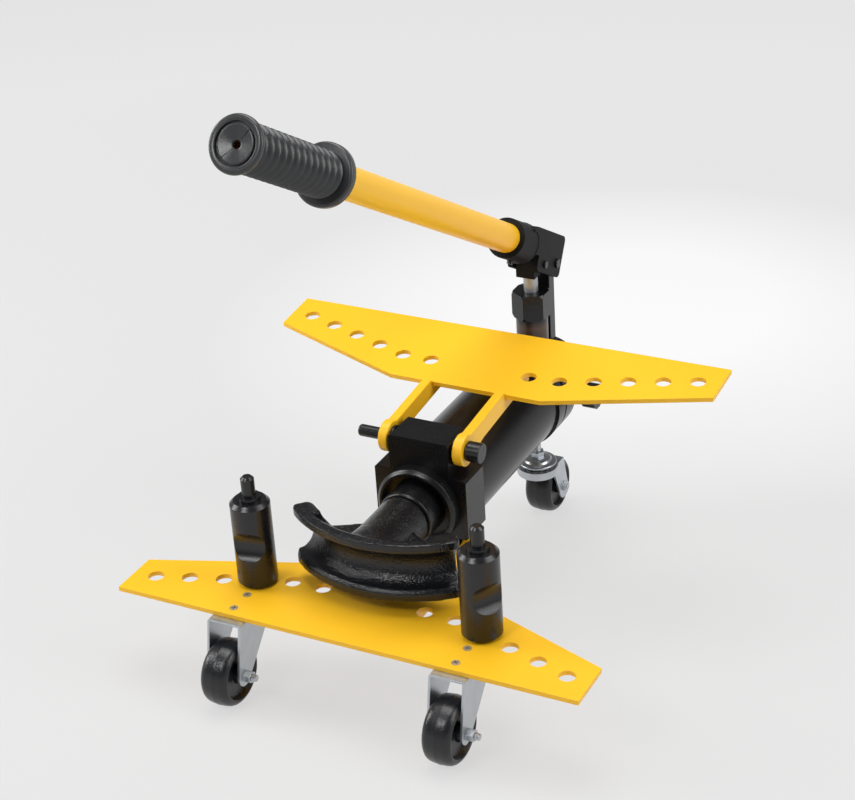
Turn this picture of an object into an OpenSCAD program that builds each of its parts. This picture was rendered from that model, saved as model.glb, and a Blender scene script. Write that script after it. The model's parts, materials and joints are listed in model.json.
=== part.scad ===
// Hydraulic pipe bender on three castors.
// A hand pump drives a ram that pushes a bending die between two wing plates.
// The machine is drawn level: x runs across, y from the front edge of the wings
// back to the pump, and z up from the top of the lower wing. It is then stood on
// its castors, which tip it slightly forward, with z 0 on the floor.

/* [Wing plates] */
// Length of each wing plate
wing_l = 600; // [580:5:640]
// Depth of a wing plate at its middle
wing_w = 136; // [128:1:144]
// Depth of a wing plate at its tips
wing_tip_w = 65.5; // [60:0.5:72]
// Length of the straight rear edge
wing_back_l = 205; // [190:1:220]
// Thickness of the wing plates
wing_t = 6; // [5:0.5:7]
// Space between the two wings when they are shut
wing_gap = 119; // [114:1:126]
// Bore of the pillar holes
hole_d = 20; // [19:0.1:22]
// Pillar holes on each side
hole_n = 6; // [5:1:6]
// Outermost hole from the tip of the wing
hole_edge = 29.5; // [26:0.5:34]
// Innermost hole from the centre line
hole_first_x = 68; // [67:0.5:70]
// Innermost hole from the front edge
hole_first_y = 90.3; // [86:0.1:94]
// Outermost hole from the front edge
hole_tip_y = 37.7; // [36:0.1:40]
// Setback of each hole from the next one outwards
hole_step_y = 12.8; // [12:0.1:13.5]
// Hole that carries the pillar, counted from the middle
pillar_hole_n = 2; // [2:1:3]

/* [Hinges] */
// Pin axis from the front edge of the wings
hinge_y = 243.7; // [240:0.1:252]
// Pin axis past the inner face of a wing
hinge_rise = 12.5; // [12:0.1:14]
// Swing of the upper wing from shut to laid back
hinge_open = 174.5; // [160:0.5:175]
// Diameter of a hinge pin
pin_d = 15; // [13:0.5:17]
// Pin length past the left arm
pin_tail = 34.5; // [20:0.5:45]
// Diameter of the pin head
pin_head_d = 25; // [22:0.5:27]
// Length of the pin head
pin_head_l = 18.5; // [14:0.5:24]
// Thickness of a hinge arm, across the machine
arm_t = 12; // [10:0.5:13]
// Height of a hinge arm on its wing
arm_h = 15.5; // [12:0.5:17]
// Depth of an arm past the wing, inside the outer face of the wing
arm_deep = 9; // [6:0.5:10]
// Length of a hinge arm along its wing
arm_lap = 70; // [50:1:90]
// Outer diameter of a hinge eye
eye_d = 39; // [36:0.5:41]
// Length over which an arm tapers from its eye
arm_taper = 42; // [36:1:60]
// Room beside a hinge arm
arm_play = 0.5; // [0.3:0.1:1]

/* [Yoke block] */
// Wall of the yoke block beside the pressure tube
block_wall = 10.5; // [9:0.5:14]
// Depth of the yoke block
block_d = 48; // [46:0.5:54]
// Pin axis behind the front face of the block
block_pin_back = 21.2; // [20:0.1:24]
// Width of the hinge lugs
lug_w = 80; // [76:1:82]
// Diameter of the bosses between a lug and its arms
lug_boss_d = 28; // [24:0.5:28.5]
// Length of those bosses
lug_boss_l = 3.5; // [2:0.5:5]
// Lug height past the inner face of a wing
lug_rise = 27; // [24:0.5:30]
// Ledges of the block, inside the top of the pressure tube
ledge_drop = 10; // [8:0.5:11]
// Chamfer on the corners of the block
block_chamfer = 3; // [1:0.5:5]

/* [Gland and cylinder] */
// Collar past the thread of the gland
collar_flange = 5; // [4:0.5:7]
// Length of the collar in front of the block
collar_l = 18; // [14:0.5:22]
// Chamfer at the front of the collar
collar_chamfer = 4; // [2:0.5:5]
// Room round the ram in the recess of the collar
mouth_room = 10; // [8:0.5:11]
// Depth of the recess in the collar
collar_mouth_l = 11; // [6:0.5:13]
// Gland round the ram, to its thread in the block
gland_wall = 12; // [11:0.5:13]
// Length of the gland in the block
gland_l = 28; // [26:0.5:32]
// Width of the rod seal
rod_seal_w = 7; // [5:0.5:9]
// Thickness of the rod seal
rod_seal_t = 4; // [3:0.5:4.5]
// Rod seal behind the front face of the block
rod_seal_in = 10; // [8:0.5:14]
// Outer diameter of the reservoir tube
tube_d = 120; // [118:0.5:122]
// Wall of the reservoir tube
tube_wall = 4; // [3:0.5:5]
// Length of the reservoir tube
tube_l = 224.5; // [220:0.5:240]
// Room for oil between the two tubes
oil_gap = 5; // [4:0.5:6]
// Wall of the pressure tube
pressure_wall = 6; // [5:0.5:6.5]
// Depth of the pressure tube in the pump base
pressure_sink = 10; // [7:0.5:12]
// Diameter of the filler boss
filler_boss_d = 28; // [24:0.5:32]
// Height of the filler boss above the tube
filler_boss_h = 6; // [4:0.5:8]
// Filler in front of the pump base
filler_ahead = 40; // [30:1:60]
// Thread of the filler plug
filler_d = 16; // [14:0.5:18]
// Filler thread past the wall of the tube
filler_thread_in = 4; // [2:0.5:4]
// Hexagon of the filler plug, across flats
filler_flats = 22; // [20:0.5:24]
// Height of the filler hexagon
filler_head_h = 8; // [6:0.5:10]

/* [Ram] */
// Room between the ram and its pressure tube
ram_gap = 10; // [9:0.5:11]
// Ram in front of the block at rest
ram_out = 44.5; // [36:0.5:48]
// Bore of the hollow ram, as a share of its diameter
ram_bore_share = 0.62; // [0.58:0.01:0.66]
// Solid length behind the ram face
ram_head_l = 21; // [16:0.5:26]
// Diameter of the nose that carries the die
nose_d = 40; // [36:0.5:44]
// Length of the nose
nose_l = 45; // [36:0.5:50]
// Chamfer on the front edge of the ram
ram_chamfer = 2; // [1:0.5:3]
// Length of the piston
piston_l = 40; // [34:0.5:44]
// Step from the ram down to its spigot in the piston
spigot_step = 7; // [5:0.5:8]
// Gap behind the piston at rest
piston_gap = 3; // [2:0.5:6]
// Width of the piston seal
piston_seal_w = 8; // [6:0.5:10]
// Thickness of the piston seal
piston_seal_t = 5; // [4:0.5:6]
// Room round the return spring in the ram
spring_room = 4; // [3:0.5:6]
// Wire of the return spring
spring_wire = 4; // [3:0.5:5]
// Turns of the return spring
spring_turns = 20; // [12:1:24]
// Thickness of each spring anchor
anchor_t = 8; // [6:0.5:12]
// Stud of the rear spring anchor
anchor_stud_d = 16; // [12:0.5:18]
// Length of the stud in the pump base
anchor_stud_l = 20; // [14:0.5:24]

/* [Bending die] */
// Radius of the die rim
die_r = 165.6; // [162:0.2:167]
// Centre of the die arc from the front edge of the wings
die_y = 228; // [226:0.5:234]
// Arc of the die, from its middle to a tip
die_half_angle = 42.5; // [38:0.5:43]
// Rounding of the tips of the lips
die_tip_round = 10; // [6:0.5:16]
// Height of the die over its lips
die_h = 76; // [72:0.5:84]
// Pipe that fits the groove
pipe_d = 48.5; // [46:0.5:49]
// Width of the lips, along the radius
lip_w = 25; // [23:0.5:28]
// Wall behind the groove
die_wall = 13; // [10:0.5:16]
// Thickness of the web behind the groove
web_h = 32; // [24:0.5:40]
// Half width of the web where it leaves the groove
web_out = 80; // [70:1:84]
// Depth of the web behind the rim, at the neck
web_back = 86; // [76:1:90]
// Diameter of the die neck
neck_d = 66; // [62:0.5:70]
// Length of the flare from the lips down to the neck
flare_l = 40; // [34:1:44]
// Flare below the faces of the lips
flare_step = 1; // [0.5:0.5:3]
// Chamfer at the rear of the neck
neck_chamfer = 2; // [1:0.5:4]

/* [Pillars] */
// Diameter of a bending pillar
pillar_d = 48.4; // [46:0.2:50]
// Height of the full body of a pillar
pillar_h = 113.5; // [110:0.5:113.5]
// Chamfer at both ends of the body
pillar_chamfer = 4.5; // [3:0.5:6]
// Ring that carries the upper wing
pillar_ring_d = 27; // [24:0.5:30]
// Peg above the ring
peg_d = 16.5; // [15:0.5:17.5]
// Height of the peg tip above the lower wing
peg_top = 144.5; // [140:0.5:148]
// Chamfer of the peg tip
peg_chamfer = 3; // [2:0.5:4]
// Tail below the lower wing
tail_l = 10; // [6:0.5:14]
// Depth of the pipe seat in the pillar
seat_depth = 10; // [8:0.5:12]
// Turn of the left pillar, from facing forward
left_facing_angle = 11; // [0:1:90]
// Turn of the right pillar, from facing forward
right_facing_angle = 57; // [0:1:90]

/* [Pump] */
// Diameter of the pump base
base_d = 126; // [124:0.5:132]
// Length of the pump base
base_l = 114; // [112:1:120]
// Full diameter of the base, from its front
base_shoulder = 53; // [46:0.5:60]
// Length over which the base tapers to its tail
base_taper = 24; // [16:0.5:30]
// Diameter of the base tail
base_tail_d = 98; // [96:0.5:106]
// Groove round the pump base, from its front
base_groove_in = 20; // [16:0.5:26]
// Width of the groove
base_groove_w = 4; // [2:0.5:6]
// Depth of the groove
base_groove_t = 2.5; // [1:0.5:4]
// Chamfer at the rear of the pump base
base_chamfer = 4; // [2:0.5:6]
// Diameter of the pump barrel
barrel_d = 42; // [40:0.5:43]
// Height of the pump barrel above the base
barrel_rise = 38; // [34:0.5:40]
// Depth of the pump barrel in the base
barrel_sink = 34.5; // [30:0.5:36]
// Floor of the pump barrel
barrel_floor = 8; // [6:0.5:9]
// Thread on top of the barrel
barrel_neck_d = 30; // [28:0.5:31]
// Length of that thread
barrel_neck_l = 18; // [14:0.5:19]
// Gland nut, across flats
gland_flats = 45; // [42:0.5:46]
// Height of the gland nut
gland_h = 36; // [34:0.5:38]
// Height of the plunger packing
packing_h = 6; // [4:0.5:8]
// Diameter of the plunger
plunger_d = 19; // [17:0.5:20]
// Room below the plunger at rest
plunger_room = 30; // [29:0.5:33]
// Thickness of the plunger head, across the machine
plunger_head_t = 26; // [22:0.5:26.4]
// Radius of the plunger head
plunger_head_r = 16; // [15:0.5:17]
// Plunger head below its pin
plunger_head_drop = 16; // [14:0.5:17]
// Diameter of the plunger pin
plunger_pin_d = 10; // [9:0.5:11]
// Slot in the plunger head, in front of the axis
head_slot_front = 9; // [8.6:0.1:10]
// Slot in the plunger head, behind the axis
head_slot_back = 12.5; // [12:0.1:13]
// Room above and below the pin in that slot
head_slot_room = 1.2; // [1.1:0.1:1.6]
// Bore of the oil passages
passage_d = 6; // [4:0.5:6]
// Bore of the well under the barrel
well_d = 8; // [7:0.5:9]
// Delivery passage above the ram axis
passage_rise = 21; // [18:0.5:23]
// Diameter of the check balls
ball_d = 9; // [8:0.5:10]
// Room round a check ball
ball_room = 0.3; // [0.2:0.1:0.5]
// Delivery ball behind the front of the base
ball_in = 28; // [24:0.5:30]
// Width of the fulcrum post
post_w = 26; // [22:0.5:26.4]
// Thickness of the fulcrum post
post_t = 16; // [13:0.5:18]
// Depth of the post in the base
post_sink = 26; // [22:0.5:30]
// Fulcrum behind the front of the base
fulcrum_back = 97; // [94:0.5:100]
// Fulcrum above the ram axis
fulcrum_up = 162.5; // [160:0.5:170]
// Radius of the post round the fulcrum pin
post_eye_r = 12; // [11:0.5:13]
// Diameter of the fulcrum pin
fulcrum_pin_d = 12; // [10:0.5:13]
// Ends of the pins past the lever socket
pin_proud = 3; // [2:0.5:5]
// Release valve behind the front of the base
valve_back = 65; // [58:0.5:70]
// Release valve below the ram axis
valve_drop = 6; // [4:0.5:10]
// Spindle of the release valve
valve_d = 12; // [10:0.5:13]
// Inner end of the spindle from the centre line
valve_in = 16; // [14:0.5:20]
// Boss round the release valve
valve_boss_d = 30; // [26:0.5:32]
// Face of that boss past the side of the base
valve_boss_out = 3; // [2:0.5:5]
// Hexagon of the valve gland, across flats
valve_flats = 22; // [20:0.5:24]
// Height of the valve gland
valve_gland_h = 6; // [5:0.5:8]
// Diameter of the release knob
knob_d = 34; // [28:0.5:36]
// Length of the release knob
knob_l = 18; // [16:0.5:22]
// Grooves round the release knob
knob_grooves = 12; // [8:1:16]
// Diameter of those grooves
knob_groove_d = 3; // [2:0.5:4]

/* [Lever] */
// Slope of the lever at rest, above level
lever_elev = 30.2; // [29:0.1:34]
// Plunger pin in front of the fulcrum, along the lever
pump_arm = 39; // [38:0.2:40]
// Plunger pin below the fulcrum, square to the lever
pump_drop = 6.5; // [6:0.1:8]
// Lever axis above the fulcrum, square to the lever
socket_rise = 13.3; // [13:0.1:15]
// Outer diameter of the lever socket
socket_d = 52; // [50:0.5:54]
// Mouth of the socket from the fulcrum
socket_mouth = 129; // [122:1:136]
// Rear end of the round socket from the fulcrum
socket_step = 80; // [76:0.5:84]
// Width of the socket fork
fork_w = 42; // [40:0.5:44]
// Fork behind the fulcrum
fork_back = 15.5; // [14:0.5:18]
// Fork above the lever axis
fork_top = 24; // [22:0.5:26]
// Fork ears below the lever axis
ear_drop = 31; // [29:0.5:32]
// Front of the fork ears from the fulcrum
ear_front = 62; // [56:0.5:66]
// Corner radius of the fork
fork_round = 7; // [4:0.5:9]
// Width of the slot in the fork
slot_w = 28; // [27:0.5:29]
// Front wall of the slot from the fulcrum
slot_front = 67; // [64:0.5:70]
// Roof of the slot above the fulcrum
slot_roof = 15.5; // [15:0.1:17]
// Outer diameter of the lever tube
lever_d = 38; // [36:0.5:40]
// Wall of the lever tube
lever_wall = 3; // [2:0.5:4]
// Thread of the socket screw
socket_screw_d = 8; // [6:0.5:10]
// Socket screw behind the mouth
socket_screw_in = 26; // [18:0.5:32]
// End of the screw outside the socket
socket_screw_out = 4; // [2:0.5:6]
// Diameter of the hand guard
guard_d = 70; // [64:0.5:74]
// Hand guard from the fulcrum, along the lever
guard_y = 612; // [590:1:630]
// Length of the hand guard
guard_l = 12; // [9:0.5:16]
// Diameter of the grip over its ribs
rib_d = 52.7; // [50:0.1:55]
// Ribs on the grip
rib_n = 13; // [9:1:16]
// Distance between ribs
rib_pitch = 13.1; // [10.5:0.1:14]
// Radius of each rib
rib_r = 4.6; // [3.5:0.1:5]
// First rib beyond the guard
rib_in = 5; // [4:0.5:10]
// Sleeve between the last rib and the end collar
rib_out = 10; // [8:0.5:14]
// Diameter of the grip between its ribs
grip_d = 46; // [44:0.5:48]
// Diameter of the end collar
end_d = 60.5; // [58:0.5:64]
// Length of the end collar
end_l = 8; // [7.5:0.5:12]
// Rounding of the guard and the end collar
grip_round = 3.5; // [2:0.5:3.5]
// Recess in the end collar
end_mouth_d = 45; // [42:0.5:48]
// Depth of that recess
end_mouth_l = 2; // [1:0.5:3]
// End wall of the grip
end_wall = 6; // [4:0.5:8]
// Vent in the end of the grip
vent_d = 7; // [5:0.5:9]

/* [Front castors] */
// Castor centre from the centre line
castor_x = 145.5; // [142:0.5:150]
// Axle in front of the wing edge
axle_ahead = 11; // [8:0.5:12]
// Axle below the top of the lower wing
axle_drop = 74.8; // [72:0.2:80]
// Diameter of a front wheel
wheel_d = 81.2; // [76:0.2:84]
// Width of a front wheel
wheel_w = 36; // [32:0.5:37]
// Rounding of the tread edges
tread_round = 8; // [5:0.5:10]
// Dish in each side of a wheel, its diameter
dish_d = 58; // [52:0.5:62]
// Depth of that dish
dish_t = 4; // [2:0.5:6]
// Hub of a wheel
hub_d = 22; // [18:0.5:26]
// Room beside a hub
hub_play = 0.4; // [0.3:0.1:0.8]
// Sheet of the brackets
sheet_t = 3; // [2.5:0.1:4]
// Gap between the legs of a bracket
bracket_gap = 39; // [38:0.5:42]
// Front of the bracket top ahead of the wing edge
bracket_ahead = 10; // [6:0.5:12]
// Rear of the bracket top behind the wing edge
bracket_back = 62; // [56:0.5:64]
// Radius of a leg round its axle
leg_r = 13; // [11:0.5:15]
// Upright part of the leg at its rear
leg_skirt = 8; // [4:0.5:14]
// Axle bolt
axle_d = 8; // [7:0.5:9]
// Axle nut and head, across flats
axle_flats = 13; // [12:0.5:15]
// Height of an axle nut
axle_nut_h = 10; // [7:0.5:11]
// Height of a bolt head
axle_head_h = 5.5; // [4:0.5:7]
// Bolt past its nut
axle_end = 6; // [2:0.5:8]
// Castor screws behind the wing edge
castor_screw_y = [14, 44]; // [8:0.5:60]
// Castor screw
castor_screw_d = 6; // [5:0.5:7]
// Head of a castor screw
castor_head_d = 11; // [10:0.5:12]
// Depth of that head, sunk flush in the wing
castor_head_h = 2.5; // [2:0.1:3]
// Castor nuts, across flats
castor_nut_flats = 10; // [9:0.5:11]
// Height of a castor nut
castor_nut_h = 5; // [4:0.5:6]
// Castor screw past its nut
castor_screw_end = 3; // [1:0.5:5]

/* [Rear castor] */
// Stem behind the front of the pump base
stem_back = 61; // [58:0.5:64]
// Boss below the pump base
stem_boss_h = 10; // [6:0.5:14]
// Diameter of that boss
stem_boss_d = 34; // [28:0.5:40]
// Diameter of the stem
stem_d = 10; // [9:0.5:12]
// Depth of the stem in the base
stem_sink = 20; // [14:0.5:24]
// Nut above the cap, across flats
cap_nut_flats = 17; // [16:0.5:19]
// Height of that nut
cap_nut_h = 8; // [6:0.5:10]
// Top of the cap below the top of the lower wing
cap_drop = 53; // [52:0.5:56]
// Diameter of the cap at its rim
cap_d = 52; // [48:0.5:56]
// Diameter of the cap at its top
cap_top_d = 24; // [22:0.5:28]
// Height of the cap
cap_h = 9; // [8:0.5:10]
// Straight rim of the cap
cap_rim = 3.5; // [2:0.5:4]
// Diameter of the balls in the race
race_ball_d = 6; // [5.5:0.5:6.5]
// Balls in the race
race_ball_n = 14; // [10:1:16]
// Circle of the balls
race_d = 38; // [36:0.5:40]
// Depth of the ball tracks
track_t = 1.2; // [1:0.1:1.6]
// Room round a race ball
race_room = 0.3; // [0.3:0.1:0.4]
// Trail of the rear axle behind the stem
trail = 30; // [29:0.5:34]
// Rear axle below the top of the lower wing
rear_axle_drop = 111.5; // [111:0.2:116]
// Diameter of the rear wheel
rear_wheel_d = 78; // [74:0.5:79]
// Width of the rear wheel
rear_wheel_w = 38; // [34:0.5:40]
// Gap between the legs of the rear fork
rear_gap = 44; // [42:0.5:46]
// Diameter of the fork crown round the stem
crown_d = 56; // [54:0.5:60]
// Leg in front of the stem
leg_front = 14; // [10:0.5:16]
// Fork crown behind the stem
crown_back = 42; // [40:0.5:46]
// Corner radius of the fork crown
crown_round = 12; // [6:0.5:16]
// Skirt at the front of the crown
crown_skirt = 11; // [8:0.5:13]
// Foot of a leg behind and below the axle
foot_shift = 2; // [0:0.5:3]
// Radius of that foot
foot_r = 16; // [13:0.5:18]
// Height of the rear axle nut
rear_nut_h = 5; // [4:0.5:7]
// Rear axle past its nut
rear_axle_end = 1; // [0.5:0.5:3]
// Nut below the fork crown, across flats
stem_nut_flats = 17; // [16:0.5:18]
// Height of that nut
stem_nut_h = 4.5; // [3:0.5:5]

/* [Fits] */
// Radial room where parts turn or slide on each other
run_fit = 0.05; // [0.03:0.01:0.1]
// Radial room where parts are put together for good
set_fit = 0.1; // [0.05:0.01:0.2]
// Gap under a part that turns or swings on a flat seat
seat_gap = 0.3; // [0.2:0.1:0.6]

/* [Hidden] */
$fn = 64;
amber = "#f2ae13";
gloss_black = "#141416";
satin_black = "#1f2022";
cast_black = "#2a2a2b";
steel = "#9aa0a6";
zinc = "#b9c0c6";
rubber = "#34363a";
seal_blue = "#2c4a63";
eps = 0.01;

// Level layout of the machine
axis_z = wing_gap / 2;
hinge_z = wing_gap + hinge_rise;
block_y = hinge_y - block_pin_back;
block_back = block_y + block_d;
base_y = block_back + tube_l;
base_back = base_y + base_l;
base_top = axis_z + base_d / 2;
arm_x = lug_w / 2 + lug_boss_l + arm_play;
arm_out = arm_x + arm_t;
hole_pitch = (wing_l / 2 - hole_edge - hole_first_x) / (hole_n - 1);
pillar_xy = hole_at(pillar_hole_n);

// Ram train
ram_face = block_y - ram_out;
piston_y = base_y - piston_gap - piston_l;
pressure_d = tube_d - 2 * tube_wall - 2 * oil_gap;
pressure_bore = pressure_d - 2 * pressure_wall;
ram_d = pressure_bore - 2 * ram_gap;
ram_bore_d = ram_d * ram_bore_share;
spigot_d = ram_d - 2 * spigot_step;
spring_d = ram_bore_d - 2 * spring_room;
gland_d = ram_d + 2 * gland_wall;
collar_d = gland_d + 2 * collar_flange;
collar_mouth_d = ram_d + 2 * mouth_room;
block_w = pressure_d + 2 * block_wall;
piston_d = pressure_bore - 2 * run_fit;
ram_bore_y = ram_face + ram_head_l;
spring_y = ram_bore_y + anchor_t;
anchor_y = base_y + pressure_sink - anchor_t;
spring_l = anchor_y - spring_y;
neck_y = die_y - die_r + pipe_d / 2 + die_wall / 2;

// Pump and lever
fulcrum = [0, base_y + fulcrum_back, axis_z + fulcrum_up];
pump_pin = fulcrum + turn([0, -pump_arm, -pump_drop], -lever_elev);
plunger_y = pump_pin[1];
barrel_z = base_top - barrel_sink;
barrel_top = base_top + barrel_rise;
bore_z = barrel_z + barrel_floor;
packing_z = barrel_top + barrel_neck_l;
valve_y = base_y + valve_back;
valve_z = axis_z - valve_drop;
passage_z = axis_z + passage_rise;
valve_boss_x = base_d / 2 + valve_boss_out;
knob_x = valve_boss_x + valve_gland_h + seat_gap;
rib_y = guard_y + guard_l + rib_in;
end_y = rib_y + (rib_n - 1) * rib_pitch + rib_out;
grip_end = end_y + end_l;

// Castors
leg_x = bracket_gap / 2;
hub_w = bracket_gap - 2 * hub_play;
front_axle = [castor_x, -axle_ahead, -axle_drop];
stem_y = base_y + stem_back;
stem_boss_z = axis_z - base_d / 2 - stem_boss_h;
rear_axle_at = [0, stem_y + trail, -rear_axle_drop];
crown_z = -cap_drop - cap_h - race_ball_d + 2 * track_t - 2 * race_room;
race_z = -cap_drop - cap_h + track_t - race_room - race_ball_d / 2;
rear_hub_w = rear_gap - 2 * hub_play;
stem_low = crown_z - sheet_t - stem_nut_h - seat_gap;

// Stand on the floor: all three wheels touch it
axle_run = rear_axle_at - front_axle;
axle_span = norm([axle_run[1], axle_run[2]]);
pitch = asin((rear_wheel_d - wheel_d) / 2 / axle_span) - atan2(axle_run[2], axle_run[1]);
floor_up = wheel_d / 2 - turn(front_axle, pitch)[2];
end_centre = fulcrum + turn([0, grip_round - grip_end, socket_rise], -lever_elev);
end_slope = lever_elev - pitch;
front_reach = turn(end_centre, pitch)[1] - (end_d / 2 - grip_round) * sin(end_slope) - grip_round;
rear_reach = turn(rear_axle_at, pitch)[1] + rear_wheel_d / 2;
mid_y = (front_reach + rear_reach) / 2;

// Turn a point about the x axis
function turn(p, a) = [p[0], p[1] * cos(a) - p[2] * sin(a), p[1] * sin(a) + p[2] * cos(a)];
// Place of a level point once the machine stands on the floor
function to_floor(p) = turn(p, pitch) + [0, -mid_y, floor_up];
// Centre of one pillar hole, counted from the middle of the wing
function hole_at(i) = i == 0
    ? [hole_first_x, hole_first_y]
    : [hole_first_x + i * hole_pitch, hole_tip_y + (hole_n - 1 - i) * hole_step_y];
// Faces between two rings of a swept wire
function ring_faces(i, n) = [for (k = [0:n - 1]) let (m = (k + 1) % n)
    each [[i * n + k, i * n + m, i * n + n + m], [i * n + k, i * n + n + m, i * n + n + k]]];

module stand() {
    translate([0, -mid_y, floor_up]) rotate([pitch, 0, 0]) children();
}

// Drawn along +y on the ram axis, from a given y
module along_y(y) {
    translate([0, y, axis_z]) rotate([-90, 0, 0]) children();
}

// Drawn along +x from a given point
module along_x(p) {
    translate(p) rotate([0, 90, 0]) children();
}

// A y-z outline given thickness along x
module side_plate(x, t) {
    translate([x, 0, 0]) rotate([90, 0, 90]) linear_extrude(t) children();
}

// Ring about the z axis
module tube(d, bore, h) {
    difference() {
        cylinder(d = d, h = h);
        translate([0, 0, -eps]) cylinder(d = bore, h = h + 2 * eps);
    }
}

// Hexagon bar, measured across flats
module hex_bar(flats, h) {
    cylinder(d = flats / cos(30), h = h, $fn = 6);
}

// Rectangle with round corners, from one corner to the other
module round_rect(from, to, r) {
    size = to - from;
    translate(from + [r, 0]) square(size - [2 * r, 0]);
    translate(from + [0, r]) square(size - [0, 2 * r]);
    for (x = [from[0] + r, to[0] - r], y = [from[1] + r, to[1] - r])
        translate([x, y]) circle(r);
}

// The upper wing group, drawn shut and laid back about its pin
module laid_back() {
    translate([0, hinge_y, hinge_z]) rotate([-hinge_open, 0, 0]) translate([0, -hinge_y, -hinge_z])
        children();
}

// The lower wing carries the same pieces upside down
module below() {
    translate([0, 0, wing_gap]) mirror([0, 0, 1]) children();
}

// The lever, drawn level with the fulcrum at the origin and the grip at -y
module on_lever() {
    translate(fulcrum) rotate([-lever_elev, 0, 0]) children();
}

// Drawn along -y on the lever axis, from the given distance in front of the fulcrum
module along_lever(y) {
    translate([0, -y, socket_rise]) rotate([90, 0, 0]) children();
}

module wing_outline() {
    polygon([
        [-wing_l / 2, 0], [wing_l / 2, 0], [wing_l / 2, wing_tip_w],
        [wing_back_l / 2, wing_w], [-wing_back_l / 2, wing_w], [-wing_l / 2, wing_tip_w]
    ]);
}

module wing() {
    difference() {
        linear_extrude(wing_t) wing_outline();
        for (side = [-1, 1], i = [0:hole_n - 1])
            translate([side * hole_at(i)[0], hole_at(i)[1], -eps])
                cylinder(d = hole_d, h = wing_t + 2 * eps);
    }
}

module lower_wing_plate() color(amber) stand() difference() {
    translate([0, 0, -wing_t]) wing();
    for (side = [-1, 1], y = castor_screw_y)
        translate([side * castor_x, y, 0]) {
            translate([0, 0, -wing_t - eps]) cylinder(d = castor_screw_d + 2 * set_fit, h = wing_t);
            translate([0, 0, -castor_head_h]) cylinder(d1 = castor_screw_d + 2 * set_fit,
                d2 = castor_head_d + 2 * set_fit, h = castor_head_h + eps);
        }
}

module upper_wing_plate() color(amber) stand() laid_back() translate([0, 0, wing_gap]) wing();

module arm_outline() {
    bar_z = wing_gap + wing_t;
    translate([hinge_y, hinge_z]) circle(d = eye_d);
    translate([wing_w - arm_lap, bar_z]) square([arm_lap + arm_deep, arm_h]);
    translate([wing_w + set_fit, bar_z - arm_deep])
        square([hinge_y - wing_w - set_fit, arm_h + arm_deep]);
    corner = eye_d / 2 * sqrt(0.5);
    polygon([
        [hinge_y - corner, hinge_z + corner], [hinge_y - arm_taper, bar_z + arm_h],
        [hinge_y - arm_taper, bar_z - arm_deep], [hinge_y - corner, hinge_z - corner]
    ]);
}

module arm(side) {
    difference() {
        side_plate(side > 0 ? arm_x : -arm_out, arm_t) arm_outline();
        along_x([-arm_out - eps, hinge_y, hinge_z])
            cylinder(d = pin_d + 2 * run_fit, h = 2 * arm_out + 2 * eps);
    }
}

module upper_left_arm() color(amber) stand() laid_back() arm(-1);
module upper_right_arm() color(amber) stand() laid_back() arm(1);
module lower_left_arm() color(amber) stand() below() arm(-1);
module lower_right_arm() color(amber) stand() below() arm(1);

module hinge_pin() {
    tip = pin_d / 8;
    along_x([-arm_out - pin_tail, hinge_y, hinge_z]) {
        cylinder(d1 = pin_d - 2 * tip, d2 = pin_d, h = tip);
        translate([0, 0, tip]) cylinder(d = pin_d, h = 2 * arm_out + pin_tail + arm_play - tip);
    }
    along_x([arm_out + arm_play, hinge_y, hinge_z]) cylinder(d = pin_head_d, h = pin_head_l);
}

module upper_hinge_pin() color(satin_black) stand() hinge_pin();
module lower_hinge_pin() color(satin_black) stand() below() hinge_pin();

// Right upper quarter of the block outline, from the top down
module block_outline() {
    c = block_chamfer;
    top = axis_z + lug_rise;
    ledge = pressure_d / 2 - ledge_drop;
    corner = [[lug_w / 2 - c, top], [lug_w / 2, top - c], [lug_w / 2, ledge],
        [block_w / 2 - c, ledge], [block_w / 2, ledge - c]];
    n = len(corner) - 1;
    polygon([
        for (i = [0:n]) corner[i],
        for (i = [n:-1:0]) [corner[i][0], -corner[i][1]],
        for (i = [0:n]) -corner[i],
        for (i = [n:-1:0]) [-corner[i][0], corner[i][1]]
    ]);
}

module yoke_block() color(satin_black) stand() difference() {
    union() {
        along_y(block_y) linear_extrude(block_d) block_outline();
        for (x = [-lug_w / 2 - lug_boss_l, lug_w / 2 - eps], z = [hinge_z, wing_gap - hinge_z])
            along_x([x, hinge_y, z]) cylinder(d = lug_boss_d, h = lug_boss_l + eps);
    }
    along_y(block_y - eps) cylinder(d = gland_d + 2 * set_fit, h = gland_l + eps);
    along_y(block_y + gland_l - eps) cylinder(d = pressure_d + 2 * set_fit, h = block_d);
    for (z = [hinge_z, wing_gap - hinge_z])
        along_x([-lug_w, hinge_y, z]) cylinder(d = pin_d + 2 * set_fit, h = 2 * lug_w);
}

module gland_collar() color(satin_black) stand() along_y(block_y) difference() {
    bore = ram_d + 2 * run_fit;
    union() {
        translate([0, 0, -collar_l])
            cylinder(d1 = collar_d - 2 * collar_chamfer, d2 = collar_d, h = collar_chamfer);
        translate([0, 0, collar_chamfer - collar_l]) cylinder(d = collar_d, h = collar_l - collar_chamfer);
        cylinder(d = gland_d, h = gland_l);
    }
    translate([0, 0, -collar_l - eps]) cylinder(d = collar_mouth_d, h = collar_mouth_l + eps);
    translate([0, 0, -collar_l]) cylinder(d = bore, h = collar_l + gland_l + eps);
    translate([0, 0, rod_seal_in]) cylinder(d = bore + 2 * rod_seal_t, h = rod_seal_w);
}

module rod_seal() color(seal_blue) stand() along_y(block_y + rod_seal_in)
    tube(ram_d + 2 * run_fit + 2 * rod_seal_t, ram_d + 2 * run_fit, rod_seal_w);

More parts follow.
